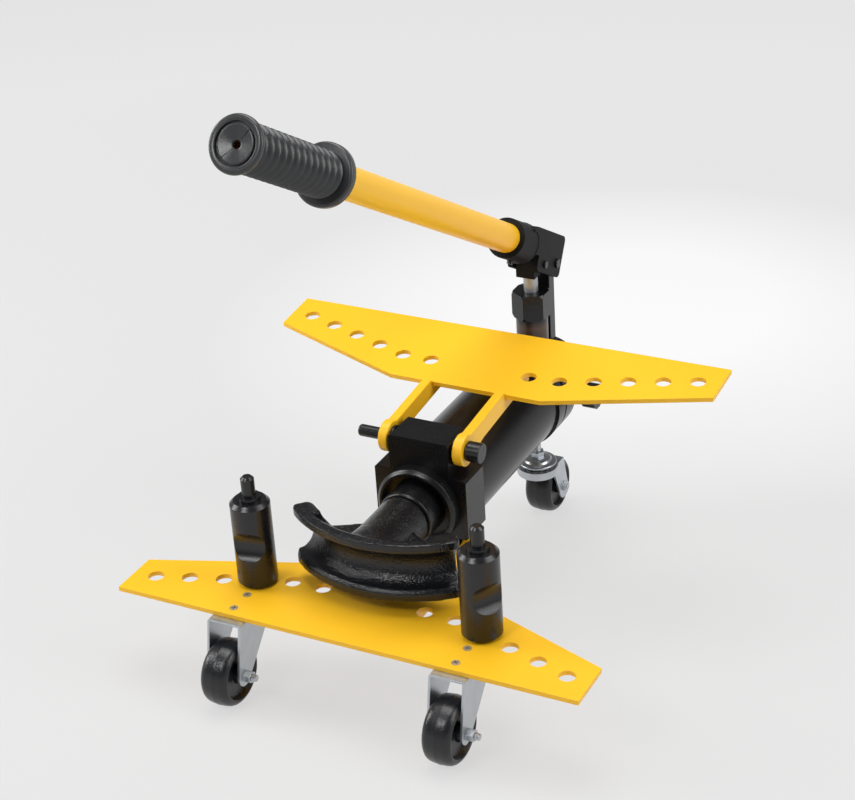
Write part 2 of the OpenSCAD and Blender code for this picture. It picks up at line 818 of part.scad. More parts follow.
module reservoir_tube() color(gloss_black) stand() difference() {
    union() {
        along_y(block_back) cylinder(d = tube_d, h = tube_l);
        translate([0, base_y - filler_ahead, axis_z])
            cylinder(d = filler_boss_d, h = tube_d / 2 + filler_boss_h);
    }
    along_y(block_back - eps) cylinder(d = tube_d - 2 * tube_wall, h = tube_l + 2 * eps);
    translate([0, base_y - filler_ahead, axis_z])
        cylinder(d = filler_d + 2 * set_fit, h = tube_d);
}

module filler_plug() color(steel) stand()
    translate([0, base_y - filler_ahead, axis_z + tube_d / 2 + filler_boss_h]) {
        thread_l = filler_boss_h + tube_wall + filler_thread_in;
        translate([0, 0, -thread_l]) cylinder(d = filler_d, h = thread_l);
        hex_bar(filler_flats, filler_head_h);
    }

module pressure_tube() color(steel) stand() along_y(block_y + gland_l)
    tube(pressure_d, pressure_bore, base_y + pressure_sink - block_y - gland_l);

module ram() color(satin_black) stand() difference() {
    union() {
        along_y(ram_face - nose_l) cylinder(d = nose_d, h = nose_l);
        along_y(ram_face) cylinder(d1 = ram_d - 2 * ram_chamfer, d2 = ram_d, h = ram_chamfer);
        along_y(ram_face + ram_chamfer) cylinder(d = ram_d, h = piston_y - ram_face - ram_chamfer);
        along_y(piston_y - eps) cylinder(d = spigot_d, h = piston_l + eps);
    }
    along_y(ram_bore_y) cylinder(d = ram_bore_d, h = base_y - ram_bore_y);
}

module piston() color(steel) stand() along_y(piston_y) difference() {
    tube(piston_d, spigot_d + 2 * set_fit, piston_l);
    translate([0, 0, (piston_l - piston_seal_w) / 2])
        tube(piston_d + 2 * eps, piston_d - 2 * piston_seal_t, piston_seal_w);
}

module piston_seal() color(seal_blue) stand() along_y(piston_y + (piston_l - piston_seal_w) / 2)
    tube(piston_d, piston_d - 2 * piston_seal_t, piston_seal_w);

module front_spring_anchor() color(steel) stand() along_y(ram_bore_y)
    cylinder(d = ram_bore_d - 2 * set_fit, h = anchor_t - seat_gap);

module rear_spring_anchor() color(steel) stand() along_y(anchor_y) {
    cylinder(d = spring_d, h = anchor_t);
    translate([0, 0, anchor_t]) cylinder(d = anchor_stud_d, h = anchor_stud_l);
}

// One unbroken wire wound about the ram axis
module return_spring() color(steel) stand() along_y(spring_y + spring_wire / 2) {
    per_turn = 10;
    sides = 6;
    rings = spring_turns * per_turn;
    mean_r = (spring_d - spring_wire) / 2;
    rise = (spring_l - spring_wire) / rings;
    points = [for (i = [0:rings], k = [0:sides - 1])
        let (a = 360 * i / per_turn, b = 360 * k / sides, r = mean_r + spring_wire / 2 * cos(b))
        [r * cos(a), r * sin(a), i * rise + spring_wire / 2 * sin(b)]];
    walls = [for (i = [0:rings - 1]) each ring_faces(i, sides)];
    first = [for (k = [1:sides - 2]) [0, k + 1, k]];
    last = [for (k = [1:sides - 2]) [rings * sides, rings * sides + k, rings * sides + k + 1]];
    polyhedron(points, [for (f = concat(walls, first, last)) [f[2], f[1], f[0]]]);
}

// Section of the grooved rim: two lips with the pipe groove between them
module rim_section() {
    groove_floor = die_r - pipe_d / 2;
    difference() {
        union() {
            translate([die_r - lip_w, -die_h / 2]) square([lip_w, die_h]);
            translate([groove_floor - die_wall, -pipe_d / 2])
                square([die_r - groove_floor + die_wall, pipe_d]);
        }
        translate([die_r, 0]) circle(d = pipe_d);
    }
}

module web_outline() {
    rim_y = die_y - sqrt(pow(die_r - lip_w, 2) - pow(web_out, 2));
    rear_y = die_y - die_r + web_back;
    polygon([
        [-web_out, rim_y], [0, neck_y], [web_out, rim_y], [neck_d / 2, rear_y], [-neck_d / 2, rear_y]
    ]);
}

module bending_die() color(cast_black) stand() difference() {
    union() {
        intersection() {
            tip_x = die_r * sin(die_half_angle);
            translate([0, die_y, axis_z]) rotate([0, 0, -90 - die_half_angle])
                rotate_extrude(angle = 2 * die_half_angle, $fn = 128) rim_section();
            along_y(die_y - die_r - eps) linear_extrude(die_r)
                round_rect([-tip_x, -die_h / 2], [tip_x, die_h / 2], die_tip_round);
        }
        translate([0, 0, axis_z - web_h / 2]) linear_extrude(web_h) web_outline();
        along_y(neck_y) cylinder(d1 = die_h - 2 * flare_step, d2 = neck_d, h = flare_l);
        along_y(neck_y) cylinder(d = neck_d, h = ram_face - neck_chamfer - neck_y);
        along_y(ram_face - neck_chamfer)
            cylinder(d1 = neck_d, d2 = neck_d - 2 * neck_chamfer, h = neck_chamfer);
    }
    along_y(ram_face - nose_l - set_fit) cylinder(d = nose_d + 2 * set_fit, h = nose_l + 2 * set_fit);
}

module pillar(facing) {
    r = pillar_d / 2;
    c = pillar_chamfer;
    tail_r = hole_d / 2 - run_fit;
    seat_y = r - seat_depth + pipe_d / 2;
    rotate([0, 0, facing]) difference() {
        rotate_extrude() polygon([
            [0, -wing_t - tail_l], [tail_r, -wing_t - tail_l], [tail_r, seat_gap], [r - c, seat_gap],
            [r, seat_gap + c], [r, pillar_h - c], [r - c, pillar_h], [pillar_ring_d / 2, pillar_h],
            [pillar_ring_d / 2, wing_gap - seat_gap], [peg_d / 2, wing_gap - seat_gap],
            [peg_d / 2, peg_top - peg_chamfer], [peg_d / 2 - peg_chamfer, peg_top], [0, peg_top]
        ]);
        along_x([-pillar_d, -seat_y, axis_z]) cylinder(d = pipe_d, h = 2 * pillar_d);
    }
}

module left_pillar() color(satin_black) stand() translate([-pillar_xy[0], pillar_xy[1], 0])
    pillar(left_facing_angle);

module right_pillar() color(satin_black) stand() translate([pillar_xy[0], pillar_xy[1], 0])
    pillar(right_facing_angle);

module pump_base() color(satin_black) stand() difference() {
    union() {
        along_y(base_y) cylinder(d = base_d, h = base_shoulder);
        along_y(base_y + base_shoulder) cylinder(d1 = base_d, d2 = base_tail_d, h = base_taper);
        along_y(base_y + base_shoulder + base_taper)
            cylinder(d = base_tail_d, h = base_l - base_shoulder - base_taper - base_chamfer);
        along_y(base_back - base_chamfer)
            cylinder(d1 = base_tail_d, d2 = base_tail_d - 2 * base_chamfer, h = base_chamfer);
        translate([0, stem_y, stem_boss_z]) cylinder(d = stem_boss_d, h = axis_z - stem_boss_z);
        along_x([0, valve_y, valve_z]) cylinder(d = valve_boss_d, h = valve_boss_x);
    }
    along_y(base_y + base_groove_in) tube(base_d + 2 * eps, base_d - 2 * base_groove_t, base_groove_w);
    along_y(base_y - eps) cylinder(d = pressure_d + 2 * set_fit, h = pressure_sink + eps);
    along_y(base_y) cylinder(d = anchor_stud_d + 2 * set_fit, h = pressure_sink + anchor_stud_l + set_fit);
    translate([0, plunger_y, barrel_z]) cylinder(d = barrel_d + 2 * set_fit, h = base_d);
    translate([-post_w / 2, fulcrum[1] - post_t / 2, base_top - post_sink]) cube([post_w, post_t, base_d]);
    translate([0, stem_y, stem_boss_z - eps]) cylinder(d = stem_d + 2 * set_fit, h = stem_sink + eps);
    along_x([valve_in - set_fit, valve_y, valve_z]) cylinder(d = valve_d + 2 * run_fit, h = valve_boss_x);
    translate([0, plunger_y, passage_z - passage_d])
        cylinder(d = well_d, h = barrel_z - passage_z + passage_d + eps);
    translate([0, 0, passage_rise]) along_y(base_y + pressure_sink - eps)
        cylinder(d = passage_d, h = plunger_y - base_y - pressure_sink);
    translate([0, base_y + ball_in, passage_z]) sphere(d = ball_d + 2 * ball_room);
}

module check_balls() color(steel) stand() {
    translate([0, base_y + ball_in, passage_z]) sphere(d = ball_d);
    translate([0, plunger_y, bore_z + sqrt(pow(ball_d / 2 + ball_room, 2) - pow(passage_d / 2, 2))])
        sphere(d = ball_d);
}

module pump_barrel() color(satin_black) stand() translate([0, plunger_y, barrel_z]) difference() {
    union() {
        cylinder(d = barrel_d, h = barrel_top - barrel_z);
        translate([0, 0, barrel_top - barrel_z]) cylinder(d = barrel_neck_d, h = barrel_neck_l);
    }
    translate([0, 0, barrel_floor]) cylinder(d = plunger_d + 2 * run_fit, h = base_d);
    translate([0, 0, -eps]) cylinder(d = passage_d, h = base_d);
}

module gland_nut() color(satin_black) stand() translate([0, plunger_y, barrel_top]) difference() {
    rotate([0, 0, 30]) hex_bar(gland_flats, gland_h);
    translate([0, 0, -eps]) cylinder(d = barrel_neck_d + 2 * set_fit, h = barrel_neck_l + packing_h + eps);
    cylinder(d = plunger_d + 2 * run_fit, h = 2 * gland_h);
}

module plunger_packing() color(seal_blue) stand() translate([0, plunger_y, packing_z])
    tube(barrel_neck_d, plunger_d + 2 * run_fit, packing_h);

module plunger_head() {
    slot_r = plunger_pin_d / 2 + head_slot_room;
    difference() {
        side_plate(-plunger_head_t / 2, plunger_head_t) {
            circle(plunger_head_r);
            translate([-plunger_head_r, -plunger_head_drop])
                square([2 * plunger_head_r, plunger_head_drop]);
        }
        side_plate(-plunger_head_t, 2 * plunger_head_t)
            round_rect([-head_slot_front, -slot_r], [head_slot_back, slot_r], slot_r - eps);
    }
}

module plunger() color(steel) stand() translate([0, plunger_y, 0]) {
    z = bore_z + plunger_room;
    translate([0, 0, z]) cylinder(d = plunger_d, h = pump_pin[2] - plunger_head_drop - z + eps);
    translate([0, 0, pump_pin[2]]) plunger_head();
}

module pin_across(d) {
    along_x([-fork_w / 2 - pin_proud, 0, 0]) cylinder(d = d, h = fork_w + 2 * pin_proud);
}

module plunger_pin() color(steel) stand() on_lever() translate([0, -pump_arm, -pump_drop])
    pin_across(plunger_pin_d);

module fulcrum_pin() color(steel) stand() translate(fulcrum) pin_across(fulcrum_pin_d);

module fulcrum_post() color(satin_black) stand() difference() {
    foot_z = base_top - post_sink;
    union() {
        translate([-post_w / 2, fulcrum[1] - post_t / 2, foot_z]) cube([post_w, post_t, fulcrum[2] - foot_z]);
        along_x(fulcrum - [post_w / 2, 0, 0]) cylinder(r = post_eye_r, h = post_w);
    }
    along_x(fulcrum - [post_w, 0, 0]) cylinder(d = fulcrum_pin_d + 2 * set_fit, h = 2 * post_w);
}

module valve_gland() color(satin_black) stand() along_x([valve_boss_x, valve_y, valve_z]) difference() {
    hex_bar(valve_flats, valve_gland_h);
    translate([0, 0, -eps]) cylinder(d = valve_d + 2 * run_fit, h = valve_gland_h + 2 * eps);
}

module release_valve() color(satin_black) stand() translate([0, valve_y, valve_z]) {
    along_x([valve_in, 0, 0]) cylinder(d = valve_d, h = knob_x - valve_in + eps);
    along_x([knob_x, 0, 0]) difference() {
        cylinder(d = knob_d, h = knob_l);
        for (i = [0:knob_grooves - 1]) rotate([0, 0, 360 / knob_grooves * i])
            translate([knob_d / 2, 0, knob_groove_d]) cylinder(d = knob_groove_d, h = knob_l);
    }
}

module fork_outline() {
    round_rect([-socket_step - fork_round, slot_roof - socket_rise], [fork_back, socket_rise + fork_top],
        fork_round);
    round_rect([-ear_front, socket_rise - ear_drop], [fork_back, socket_rise], fork_round);
}

module lever_socket() color(satin_black) stand() on_lever() difference() {
    union() {
        along_lever(socket_step) cylinder(d = socket_d, h = socket_mouth - socket_step);
        side_plate(-fork_w / 2, fork_w) fork_outline();
    }
    translate([-slot_w / 2, -slot_front, socket_rise - 2 * ear_drop])
        cube([slot_w, slot_front + 2 * fork_back, slot_roof - socket_rise + 2 * ear_drop]);
    along_lever(socket_step) cylinder(d = lever_d + 2 * set_fit, h = socket_mouth);
    along_x([-fork_w, 0, 0]) cylinder(d = fulcrum_pin_d + 2 * run_fit, h = 2 * fork_w);
    along_x([-fork_w, -pump_arm, -pump_drop]) cylinder(d = plunger_pin_d + 2 * set_fit, h = 2 * fork_w);
    translate([0, socket_screw_in - socket_mouth, socket_rise - socket_d])
        cylinder(d = socket_screw_d + 2 * set_fit, h = socket_d);
}

module socket_screw() color(satin_black) stand() on_lever()
    translate([0, socket_screw_in - socket_mouth, socket_rise - socket_d / 2 - socket_screw_out])
        difference() {
            cylinder(d = socket_screw_d, h = (socket_d - lever_d) / 2 + socket_screw_out - seat_gap);
            translate([0, 0, -eps]) hex_bar(socket_screw_d / 2, socket_screw_out);
        }

module lever_tube() color(amber) stand() on_lever() along_lever(socket_step)
    tube(lever_d, lever_d - 2 * lever_wall, grip_end - end_mouth_l - end_wall - socket_step - seat_gap);

// Half section of the grip: guard, ribs and end collar
module grip_section() {
    bore = lever_d / 2 + set_fit;
    round_rect([bore, guard_y], [guard_d / 2, guard_y + guard_l], grip_round);
    round_rect([bore, end_y], [end_d / 2, grip_end], grip_round);
    translate([bore, guard_y]) square([grip_d / 2 - bore, grip_end - guard_y]);
    intersection() {
        translate([bore, guard_y]) square([rib_d, grip_end - guard_y]);
        for (i = [0:rib_n - 1]) translate([rib_d / 2 - rib_r, rib_y + i * rib_pitch]) circle(rib_r);
    }
}

module lever_grip() color(rubber) stand() on_lever() difference() {
    union() {
        along_lever(0) rotate_extrude() grip_section();
        along_lever(grip_end - end_mouth_l - end_wall)
            cylinder(d = lever_d + lever_wall, h = end_wall + end_mouth_l);
    }
    along_lever(grip_end - end_mouth_l) cylinder(d = end_mouth_d, h = 2 * end_mouth_l);
    along_lever(grip_end - 2 * end_wall) cylinder(d = vent_d, h = 3 * end_wall);
}

module leg_outline() {
    top = -wing_t - sheet_t;
    translate([-axle_ahead, -axle_drop]) circle(leg_r);
    polygon([
        [-bracket_ahead, -wing_t], [bracket_back, -wing_t], [bracket_back, top - leg_skirt],
        [-axle_ahead + leg_r * cos(40), -axle_drop - leg_r * sin(40)],
        [-axle_ahead - leg_r, -axle_drop]
    ]);
}

module bracket(side) {
    width = bracket_gap + 2 * sheet_t;
    translate([side * castor_x, 0, 0]) difference() {
        union() {
            translate([-width / 2, -bracket_ahead, -wing_t - sheet_t])
                cube([width, bracket_back + bracket_ahead, sheet_t]);
            side_plate(leg_x, sheet_t) leg_outline();
            side_plate(-leg_x - sheet_t, sheet_t) leg_outline();
        }
        for (y = castor_screw_y) translate([0, y, -wing_t - 2 * sheet_t])
            cylinder(d = castor_screw_d + 2 * set_fit, h = 3 * sheet_t);
        along_x([-width, -axle_ahead, -axle_drop]) cylinder(d = axle_d + 2 * set_fit, h = 2 * width);
    }
}

module left_bracket() color(zinc) stand() bracket(-1);
module right_bracket() color(zinc) stand() bracket(1);

// Wheel about the z axis, centred: rounded tread, dished sides and a proud hub
module wheel(d, w, hub) {
    dish = dish_d * d / wheel_d;
    difference() {
        union() {
            translate([0, 0, -w / 2 + tread_round]) cylinder(d = d, h = w - 2 * tread_round);
            translate([0, 0, -w / 2]) cylinder(d = d - 2 * tread_round, h = w);
            for (z = [-1, 1]) translate([0, 0, z * (w / 2 - tread_round)])
                rotate_extrude() translate([d / 2 - tread_round, 0]) circle(tread_round);
        }
        for (z = [-w / 2 - dish_t, w / 2 - dish_t]) translate([0, 0, z]) tube(dish, hub_d, 2 * dish_t);
        translate([0, 0, -w]) cylinder(d = axle_d + 2 * run_fit, h = 2 * w);
    }
    for (z = [-hub / 2, w / 2]) translate([0, 0, z])
        tube(hub_d, axle_d + 2 * run_fit, (hub - w) / 2);
}

module left_wheel() color(rubber) stand() along_x(front_axle - [2 * castor_x, 0, 0])
    wheel(wheel_d, wheel_w, hub_w);

module right_wheel() color(rubber) stand() along_x(front_axle) wheel(wheel_d, wheel_w, hub_w);

// Axle bolt through two legs, with its head at -x and its nut at +x
module axle(gap, past) {
    grip = gap / 2 + sheet_t;
    translate([0, 0, -grip - axle_head_h]) hex_bar(axle_flats, axle_head_h);
    translate([0, 0, -grip]) cylinder(d = axle_d, h = 2 * grip + past);
}

module axle_nut(gap, h) {
    translate([0, 0, gap / 2 + sheet_t]) difference() {
        hex_bar(axle_flats, h);
        translate([0, 0, -eps]) cylinder(d = axle_d + 2 * set_fit, h = h + 2 * eps);
    }
}

module left_axle() color(zinc) stand() along_x(front_axle - [2 * castor_x, 0, 0])
    axle(bracket_gap, axle_nut_h + axle_end);
module right_axle() color(zinc) stand() along_x(front_axle) axle(bracket_gap, axle_nut_h + axle_end);

module axle_nuts() color(zinc) stand() for (side = [0, 2])
    along_x(front_axle - [side * castor_x, 0, 0]) axle_nut(bracket_gap, axle_nut_h);

module castor_screws() color(zinc) stand() for (side = [-1, 1], y = castor_screw_y)
    translate([side * castor_x, y, 0]) {
        shank = wing_t + sheet_t + castor_nut_h + castor_screw_end;
        translate([0, 0, -castor_head_h])
            cylinder(d1 = castor_screw_d, d2 = castor_head_d, h = castor_head_h);
        translate([0, 0, -shank]) cylinder(d = castor_screw_d, h = shank);
    }

module castor_nuts() color(zinc) stand() for (side = [-1, 1], y = castor_screw_y)
    translate([side * castor_x, y, -wing_t - sheet_t - castor_nut_h]) difference() {
        hex_bar(castor_nut_flats, castor_nut_h);
        translate([0, 0, -eps]) cylinder(d = castor_screw_d + 2 * set_fit, h = castor_nut_h + 2 * eps);
    }

module rear_stem() color(zinc) stand() translate([0, stem_y, stem_low])
    cylinder(d = stem_d, h = stem_boss_z + stem_sink - stem_low);

// Nut on the stem, from the given height
module stem_ring(flats, h) {
    difference() {
        hex_bar(flats, h);
        translate([0, 0, -eps]) cylinder(d = stem_d + 2 * set_fit, h = h + 2 * eps);
    }
}

module cap_nut() color(zinc) stand() translate([0, stem_y, -cap_drop]) stem_ring(cap_nut_flats, cap_nut_h);

// Groove that guides the race balls
module ball_track() {
    tube(race_d + race_ball_d, race_d - race_ball_d, 2 * track_t);
}

module rear_cap() color(zinc) stand() translate([0, stem_y, -cap_drop - cap_h]) difference() {
    union() {
        cylinder(d = cap_d, h = cap_rim);
        translate([0, 0, cap_rim]) cylinder(d1 = cap_d, d2 = cap_top_d, h = cap_h - cap_rim);
    }
    translate([0, 0, -eps]) cylinder(d = stem_d + 2 * set_fit, h = 2 * cap_h);
    translate([0, 0, -track_t]) ball_track();
}

module race_balls() color(steel) stand() translate([0, stem_y, race_z])
    for (i = [0:race_ball_n - 1]) rotate([0, 0, 360 / race_ball_n * i])
        translate([race_d / 2, 0, 0]) sphere(d = race_ball_d);

module rear_leg_outline() {
    foot = [rear_axle_at[1] + foot_shift, rear_axle_at[2] - foot_shift];
    bend_z = crown_z - crown_skirt;
    translate(foot) circle(foot_r);
    polygon([
        [stem_y - leg_front, crown_z], [stem_y + crown_back - crown_round, crown_z],
        [foot[0] + foot_r, bend_z], foot + [foot_r, 0], foot - [foot_r, 0],
        [stem_y, bend_z], [stem_y - leg_front, bend_z]
    ]);
}

// Plan of the fork crown about the stem, drawn in by the given amount
module crown_outline(inset) {
    half = rear_gap / 2 + sheet_t - inset;
    circle(d = crown_d - 2 * inset);
    round_rect([-half, -crown_round], [half, crown_back - inset], crown_round - inset);
}

module rear_fork() color(zinc) stand() difference() {
    half = rear_gap / 2 + sheet_t;
    union() {
        translate([0, stem_y, crown_z - sheet_t]) linear_extrude(sheet_t) crown_outline(0);
        intersection() {
            translate([0, stem_y, crown_z - crown_skirt]) linear_extrude(crown_skirt) difference() {
                crown_outline(0);
                crown_outline(sheet_t);
            }
            translate([-crown_d, stem_y - crown_d, crown_z - crown_skirt])
                cube([2 * crown_d, crown_d, crown_skirt]);
        }
        side_plate(rear_gap / 2, sheet_t) rear_leg_outline();
        side_plate(-half, sheet_t) rear_leg_outline();
    }
    translate([0, stem_y, crown_z - 2 * sheet_t]) cylinder(d = stem_d + 2 * run_fit, h = 3 * sheet_t);
    translate([0, stem_y, crown_z - track_t]) ball_track();
    along_x(rear_axle_at - [2 * half, 0, 0]) cylinder(d = axle_d + 2 * set_fit, h = 4 * half);
}

module stem_nut() color(zinc) stand() translate([0, stem_y, stem_low]) stem_ring(stem_nut_flats, stem_nut_h);

module rear_wheel() color(rubber) stand() along_x(rear_axle_at) wheel(rear_wheel_d, rear_wheel_w, rear_hub_w);
module rear_axle() color(zinc) stand() along_x(rear_axle_at) axle(rear_gap, rear_nut_h + rear_axle_end);
module rear_axle_nut() color(zinc) stand() along_x(rear_axle_at) axle_nut(rear_gap, rear_nut_h);

// Places of the joints on the standing machine
echo(pitch = pitch, floor_up = floor_up, mid_y = mid_y);
echo(hinge = to_floor([0, hinge_y, hinge_z]), fulcrum = to_floor(fulcrum));
echo(plunger = to_floor(pump_pin), plunger_ratio = plunger_y - fulcrum[1]);
echo(valve = to_floor([knob_x, valve_y, valve_z]), stem = to_floor([0, stem_y, crown_z]));
echo(front_axle = to_floor(front_axle), rear_axle = to_floor(rear_axle_at));
echo(pillar = to_floor([pillar_xy[0], pillar_xy[1], axis_z]), ram = to_floor([0, ram_face, axis_z]));

lower_wing_plate();
upper_wing_plate();
upper_left_arm();
upper_right_arm();
lower_left_arm();
lower_right_arm();
upper_hinge_pin();
lower_hinge_pin();
yoke_block();
gland_collar();
rod_seal();
reservoir_tube();
pressure_tube();
filler_plug();
ram();
piston();
piston_seal();
front_spring_anchor();
rear_spring_anchor();
return_spring();
bending_die();
left_pillar();
right_pillar();
pump_base();
pump_barrel();
gland_nut();
plunger_packing();
plunger();
plunger_pin();
check_balls();
fulcrum_post();
fulcrum_pin();
valve_gland();
release_valve();
lever_socket();
socket_screw();
lever_tube();
lever_grip();
left_bracket();
right_bracket();
left_wheel();
right_wheel();
left_axle();
right_axle();
axle_nuts();
castor_screws();
castor_nuts();
rear_stem();
cap_nut();
rear_cap();
race_balls();
rear_fork();
stem_nut();
rear_wheel();
rear_axle();
rear_axle_nut();
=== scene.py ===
import bmesh
import bpy
import json
from math import atan2, cos, pi, radians, sin, sqrt
from mathutils import Matrix, Vector


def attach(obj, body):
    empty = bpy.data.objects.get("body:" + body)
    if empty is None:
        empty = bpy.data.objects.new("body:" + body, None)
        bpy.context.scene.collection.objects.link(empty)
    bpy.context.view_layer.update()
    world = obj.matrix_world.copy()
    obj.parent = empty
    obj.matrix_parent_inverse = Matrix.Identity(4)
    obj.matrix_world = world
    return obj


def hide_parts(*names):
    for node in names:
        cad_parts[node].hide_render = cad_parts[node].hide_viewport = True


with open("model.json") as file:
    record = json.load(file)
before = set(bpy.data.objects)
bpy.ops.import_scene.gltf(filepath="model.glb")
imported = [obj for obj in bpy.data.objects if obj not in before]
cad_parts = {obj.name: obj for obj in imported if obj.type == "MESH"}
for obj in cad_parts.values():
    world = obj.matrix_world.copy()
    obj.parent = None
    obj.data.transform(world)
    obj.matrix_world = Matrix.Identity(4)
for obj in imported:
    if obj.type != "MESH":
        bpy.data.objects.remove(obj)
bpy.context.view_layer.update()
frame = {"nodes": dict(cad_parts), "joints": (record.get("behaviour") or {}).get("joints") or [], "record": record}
bodies = frame["record"]["behaviour"]["bodies"]
body_of = {node: body for body, nodes in bodies.items() for node in nodes}
joints = {joint["name"]: joint for joint in frame["joints"]}

# The machine is drawn level in millimetres: x across, y from the front edge of the wings back,
# z up from the top of the lower wing. Its castors tip it forward, so everything is stood on the
# floor by one matrix, taken from the way of the ram and the place of the upper hinge pin.
MM = 0.001
HINGE_Y = 243.7
HINGE_Z = 131.5
ram_way = Vector(joints["ram_slide"]["axis"])
tilt = Matrix(((1, 0, 0), (0, -ram_way.y, ram_way.z), (0, -ram_way.z, -ram_way.y)))
hinge_pin_at = Vector(joints["upper_wing_swing"]["pos_m"])
stood = Matrix.Translation(hinge_pin_at - tilt @ Vector((0, HINGE_Y, HINGE_Z)) * MM)
level = stood @ tilt.to_4x4() @ Matrix.Scale(MM, 4)

# Studio: a pale floor, air that is lightest at the horizon, four softboxes and the camera of the
# photograph. The floor stays near white to the camera, with painted light on it: lighter far out where
# the lamps fall off, and a painted pool of light behind and to the right. It still takes a soft shadow.
FLOOR_HALF = 30
FLOOR_PAINT = (0.72, 0.72, 0.72, 1)
SWEEP_AT = (0, 0)
SWEEP_REACH = 3
SWEEP_TONES = ((0.13, 0.9), (0.8, 0.76))
LIGHT_POOL_AT = (-0.17, 1.1)
LIGHT_POOL_REACH = 1.2
LIGHT_POOL_TONES = ((0, 0.6), (0.8, 1))
GLOW_SHARE = 0.8
AIR = (0.9, 0.9, 0.9, 1)
HORIZON_RISE = 0.3
HORIZON_LIGHT = 0.85
ZENITH_LIGHT = 0.15
scene = bpy.context.scene
scene.view_settings.view_transform = "Standard"


def linked_object(name, mesh):
    data = bpy.data.meshes.new(name)
    mesh.to_mesh(data)
    mesh.free()
    made = bpy.data.objects.new(name, data)
    scene.collection.objects.link(made)
    return made


def new_material(name):
    made = bpy.data.materials.new(name)
    made.use_nodes = True
    return made, made.node_tree.nodes, made.node_tree.links


floor_mesh = bmesh.new()
bmesh.ops.create_grid(floor_mesh, x_segments=1, y_segments=1, size=FLOOR_HALF)
studio_floor = linked_object("studio_floor", floor_mesh)
floor_paint, nodes, links = new_material("pale_floor")
shader = nodes["Principled BSDF"]
shader.inputs["Base Color"].default_value = FLOOR_PAINT
shader.inputs["Roughness"].default_value = 0.9
shader.inputs["Specular IOR Level"].default_value = 0.1
place = nodes.new("ShaderNodeTexCoord")


def floor_tone(centre, reach, ends):
    patch = nodes.new("ShaderNodeMapping")
    patch.inputs["Location"].default_value = (-centre[0] / reach, -centre[1] / reach, 0)
    patch.inputs["Scale"].default_value = (1 / reach, 1 / reach, 1)
    spread = nodes.new("ShaderNodeTexGradient")
    spread.gradient_type = "SPHERICAL"
    tones = nodes.new("ShaderNodeValToRGB")
    for stop, (position, grey) in zip(tones.color_ramp.elements, ends):
        stop.position = position
        stop.color = (grey, grey, grey, 1)
    links.new(place.outputs["Object"], patch.inputs["Vector"])
    links.new(patch.outputs["Vector"], spread.inputs["Vector"])
    links.new(spread.outputs["Fac"], tones.inputs["Fac"])
    return tones


# Painted light on the floor, seen by the camera and in reflections: the first tone is lighter far from the
# machine, where the lamps fall off, and darker near it; the second is a painted pool of light behind and to the
# right of the machine.
sweep = floor_tone(SWEEP_AT, SWEEP_REACH, SWEEP_TONES)
painted_light_pool = floor_tone(LIGHT_POOL_AT, LIGHT_POOL_REACH, LIGHT_POOL_TONES)
lighter = nodes.new("ShaderNodeMix")
lighter.data_type = "RGBA"
lighter.blend_type = "LIGHTEN"
lighter.inputs["Factor"].default_value = 1
links.new(sweep.outputs["Color"], lighter.inputs["A"])
links.new(painted_light_pool.outputs["Color"], lighter.inputs["B"])
glow = nodes.new("ShaderNodeEmission")
path = nodes.new("ShaderNodeLightPath")
seen = nodes.new("ShaderNodeMath")
seen.operation = "MAXIMUM"
share = nodes.new("ShaderNodeMath")
share.operation = "MULTIPLY"
share.inputs[1].default_value = GLOW_SHARE
mix = nodes.new("ShaderNodeMixShader")
links.new(lighter.outputs["Result"], glow.inputs["Color"])
links.new(path.outputs["Is Camera Ray"], seen.inputs[0])
links.new(path.outputs["Is Glossy Ray"], seen.inputs[1])
links.new(seen.outputs[0], share.inputs[0])
links.new(share.outputs[0], mix.inputs[0])
links.new(shader.outputs[0], mix.inputs[1])
links.new(glow.outputs[0], mix.inputs[2])
links.new(mix.outputs[0], nodes["Material Output"].inputs["Surface"])
studio_floor.data.materials.append(floor_paint)

world = bpy.data.worlds.new("studio_air")
scene.world = world
world.use_nodes = True
nodes, links = world.node_tree.nodes, world.node_tree.links
nodes["Background"].inputs["Color"].default_value = AIR
looking = nodes.new("ShaderNodeTexCoord")
axes = nodes.new("ShaderNodeSeparateXYZ")
horizon = nodes.new("ShaderNodeMapRange")
horizon.inputs["From Max"].default_value = HORIZON_RISE
horizon.inputs["To Min"].default_value = HORIZON_LIGHT
horizon.inputs["To Max"].default_value = ZENITH_LIGHT
links.new(looking.outputs["Generated"], axes.inputs["Vector"])
links.new(axes.outputs["Z"], horizon.inputs["Value"])
links.new(horizon.outputs["Result"], nodes["Background"].inputs["Strength"])


def softbox(name, place, target, size, power):
    lamp = bpy.data.lights.new(name, "AREA")
    lamp.shape = "RECTANGLE"
    lamp.size, lamp.size_y = size
    lamp.energy = power
    held = bpy.data.objects.new(name, lamp)
    held.location = place
    held.rotation_euler = (Vector(target) - Vector(place)).to_track_quat("-Z", "Y").to_euler()
    scene.collection.objects.link(held)


softbox("overhead_softbox", place=(-0.3, 0.2, 2.9), target=(0, 0, 0.2), size=(1.8, 1.8), power=58)
softbox("left_softbox", place=(-2.1, -0.7, 1.4), target=(0, 0, 0.25), size=(0.8, 1.5), power=28)
softbox("right_softbox", place=(2.1, 0.2, 1.7), target=(0, 0, 0.2), size=(1.5, 1.8), power=36)
softbox("front_softbox", place=(-0.5, -2.2, 2.3), target=(0, -0.2, 0.3), size=(0.8, 0.8), power=26)

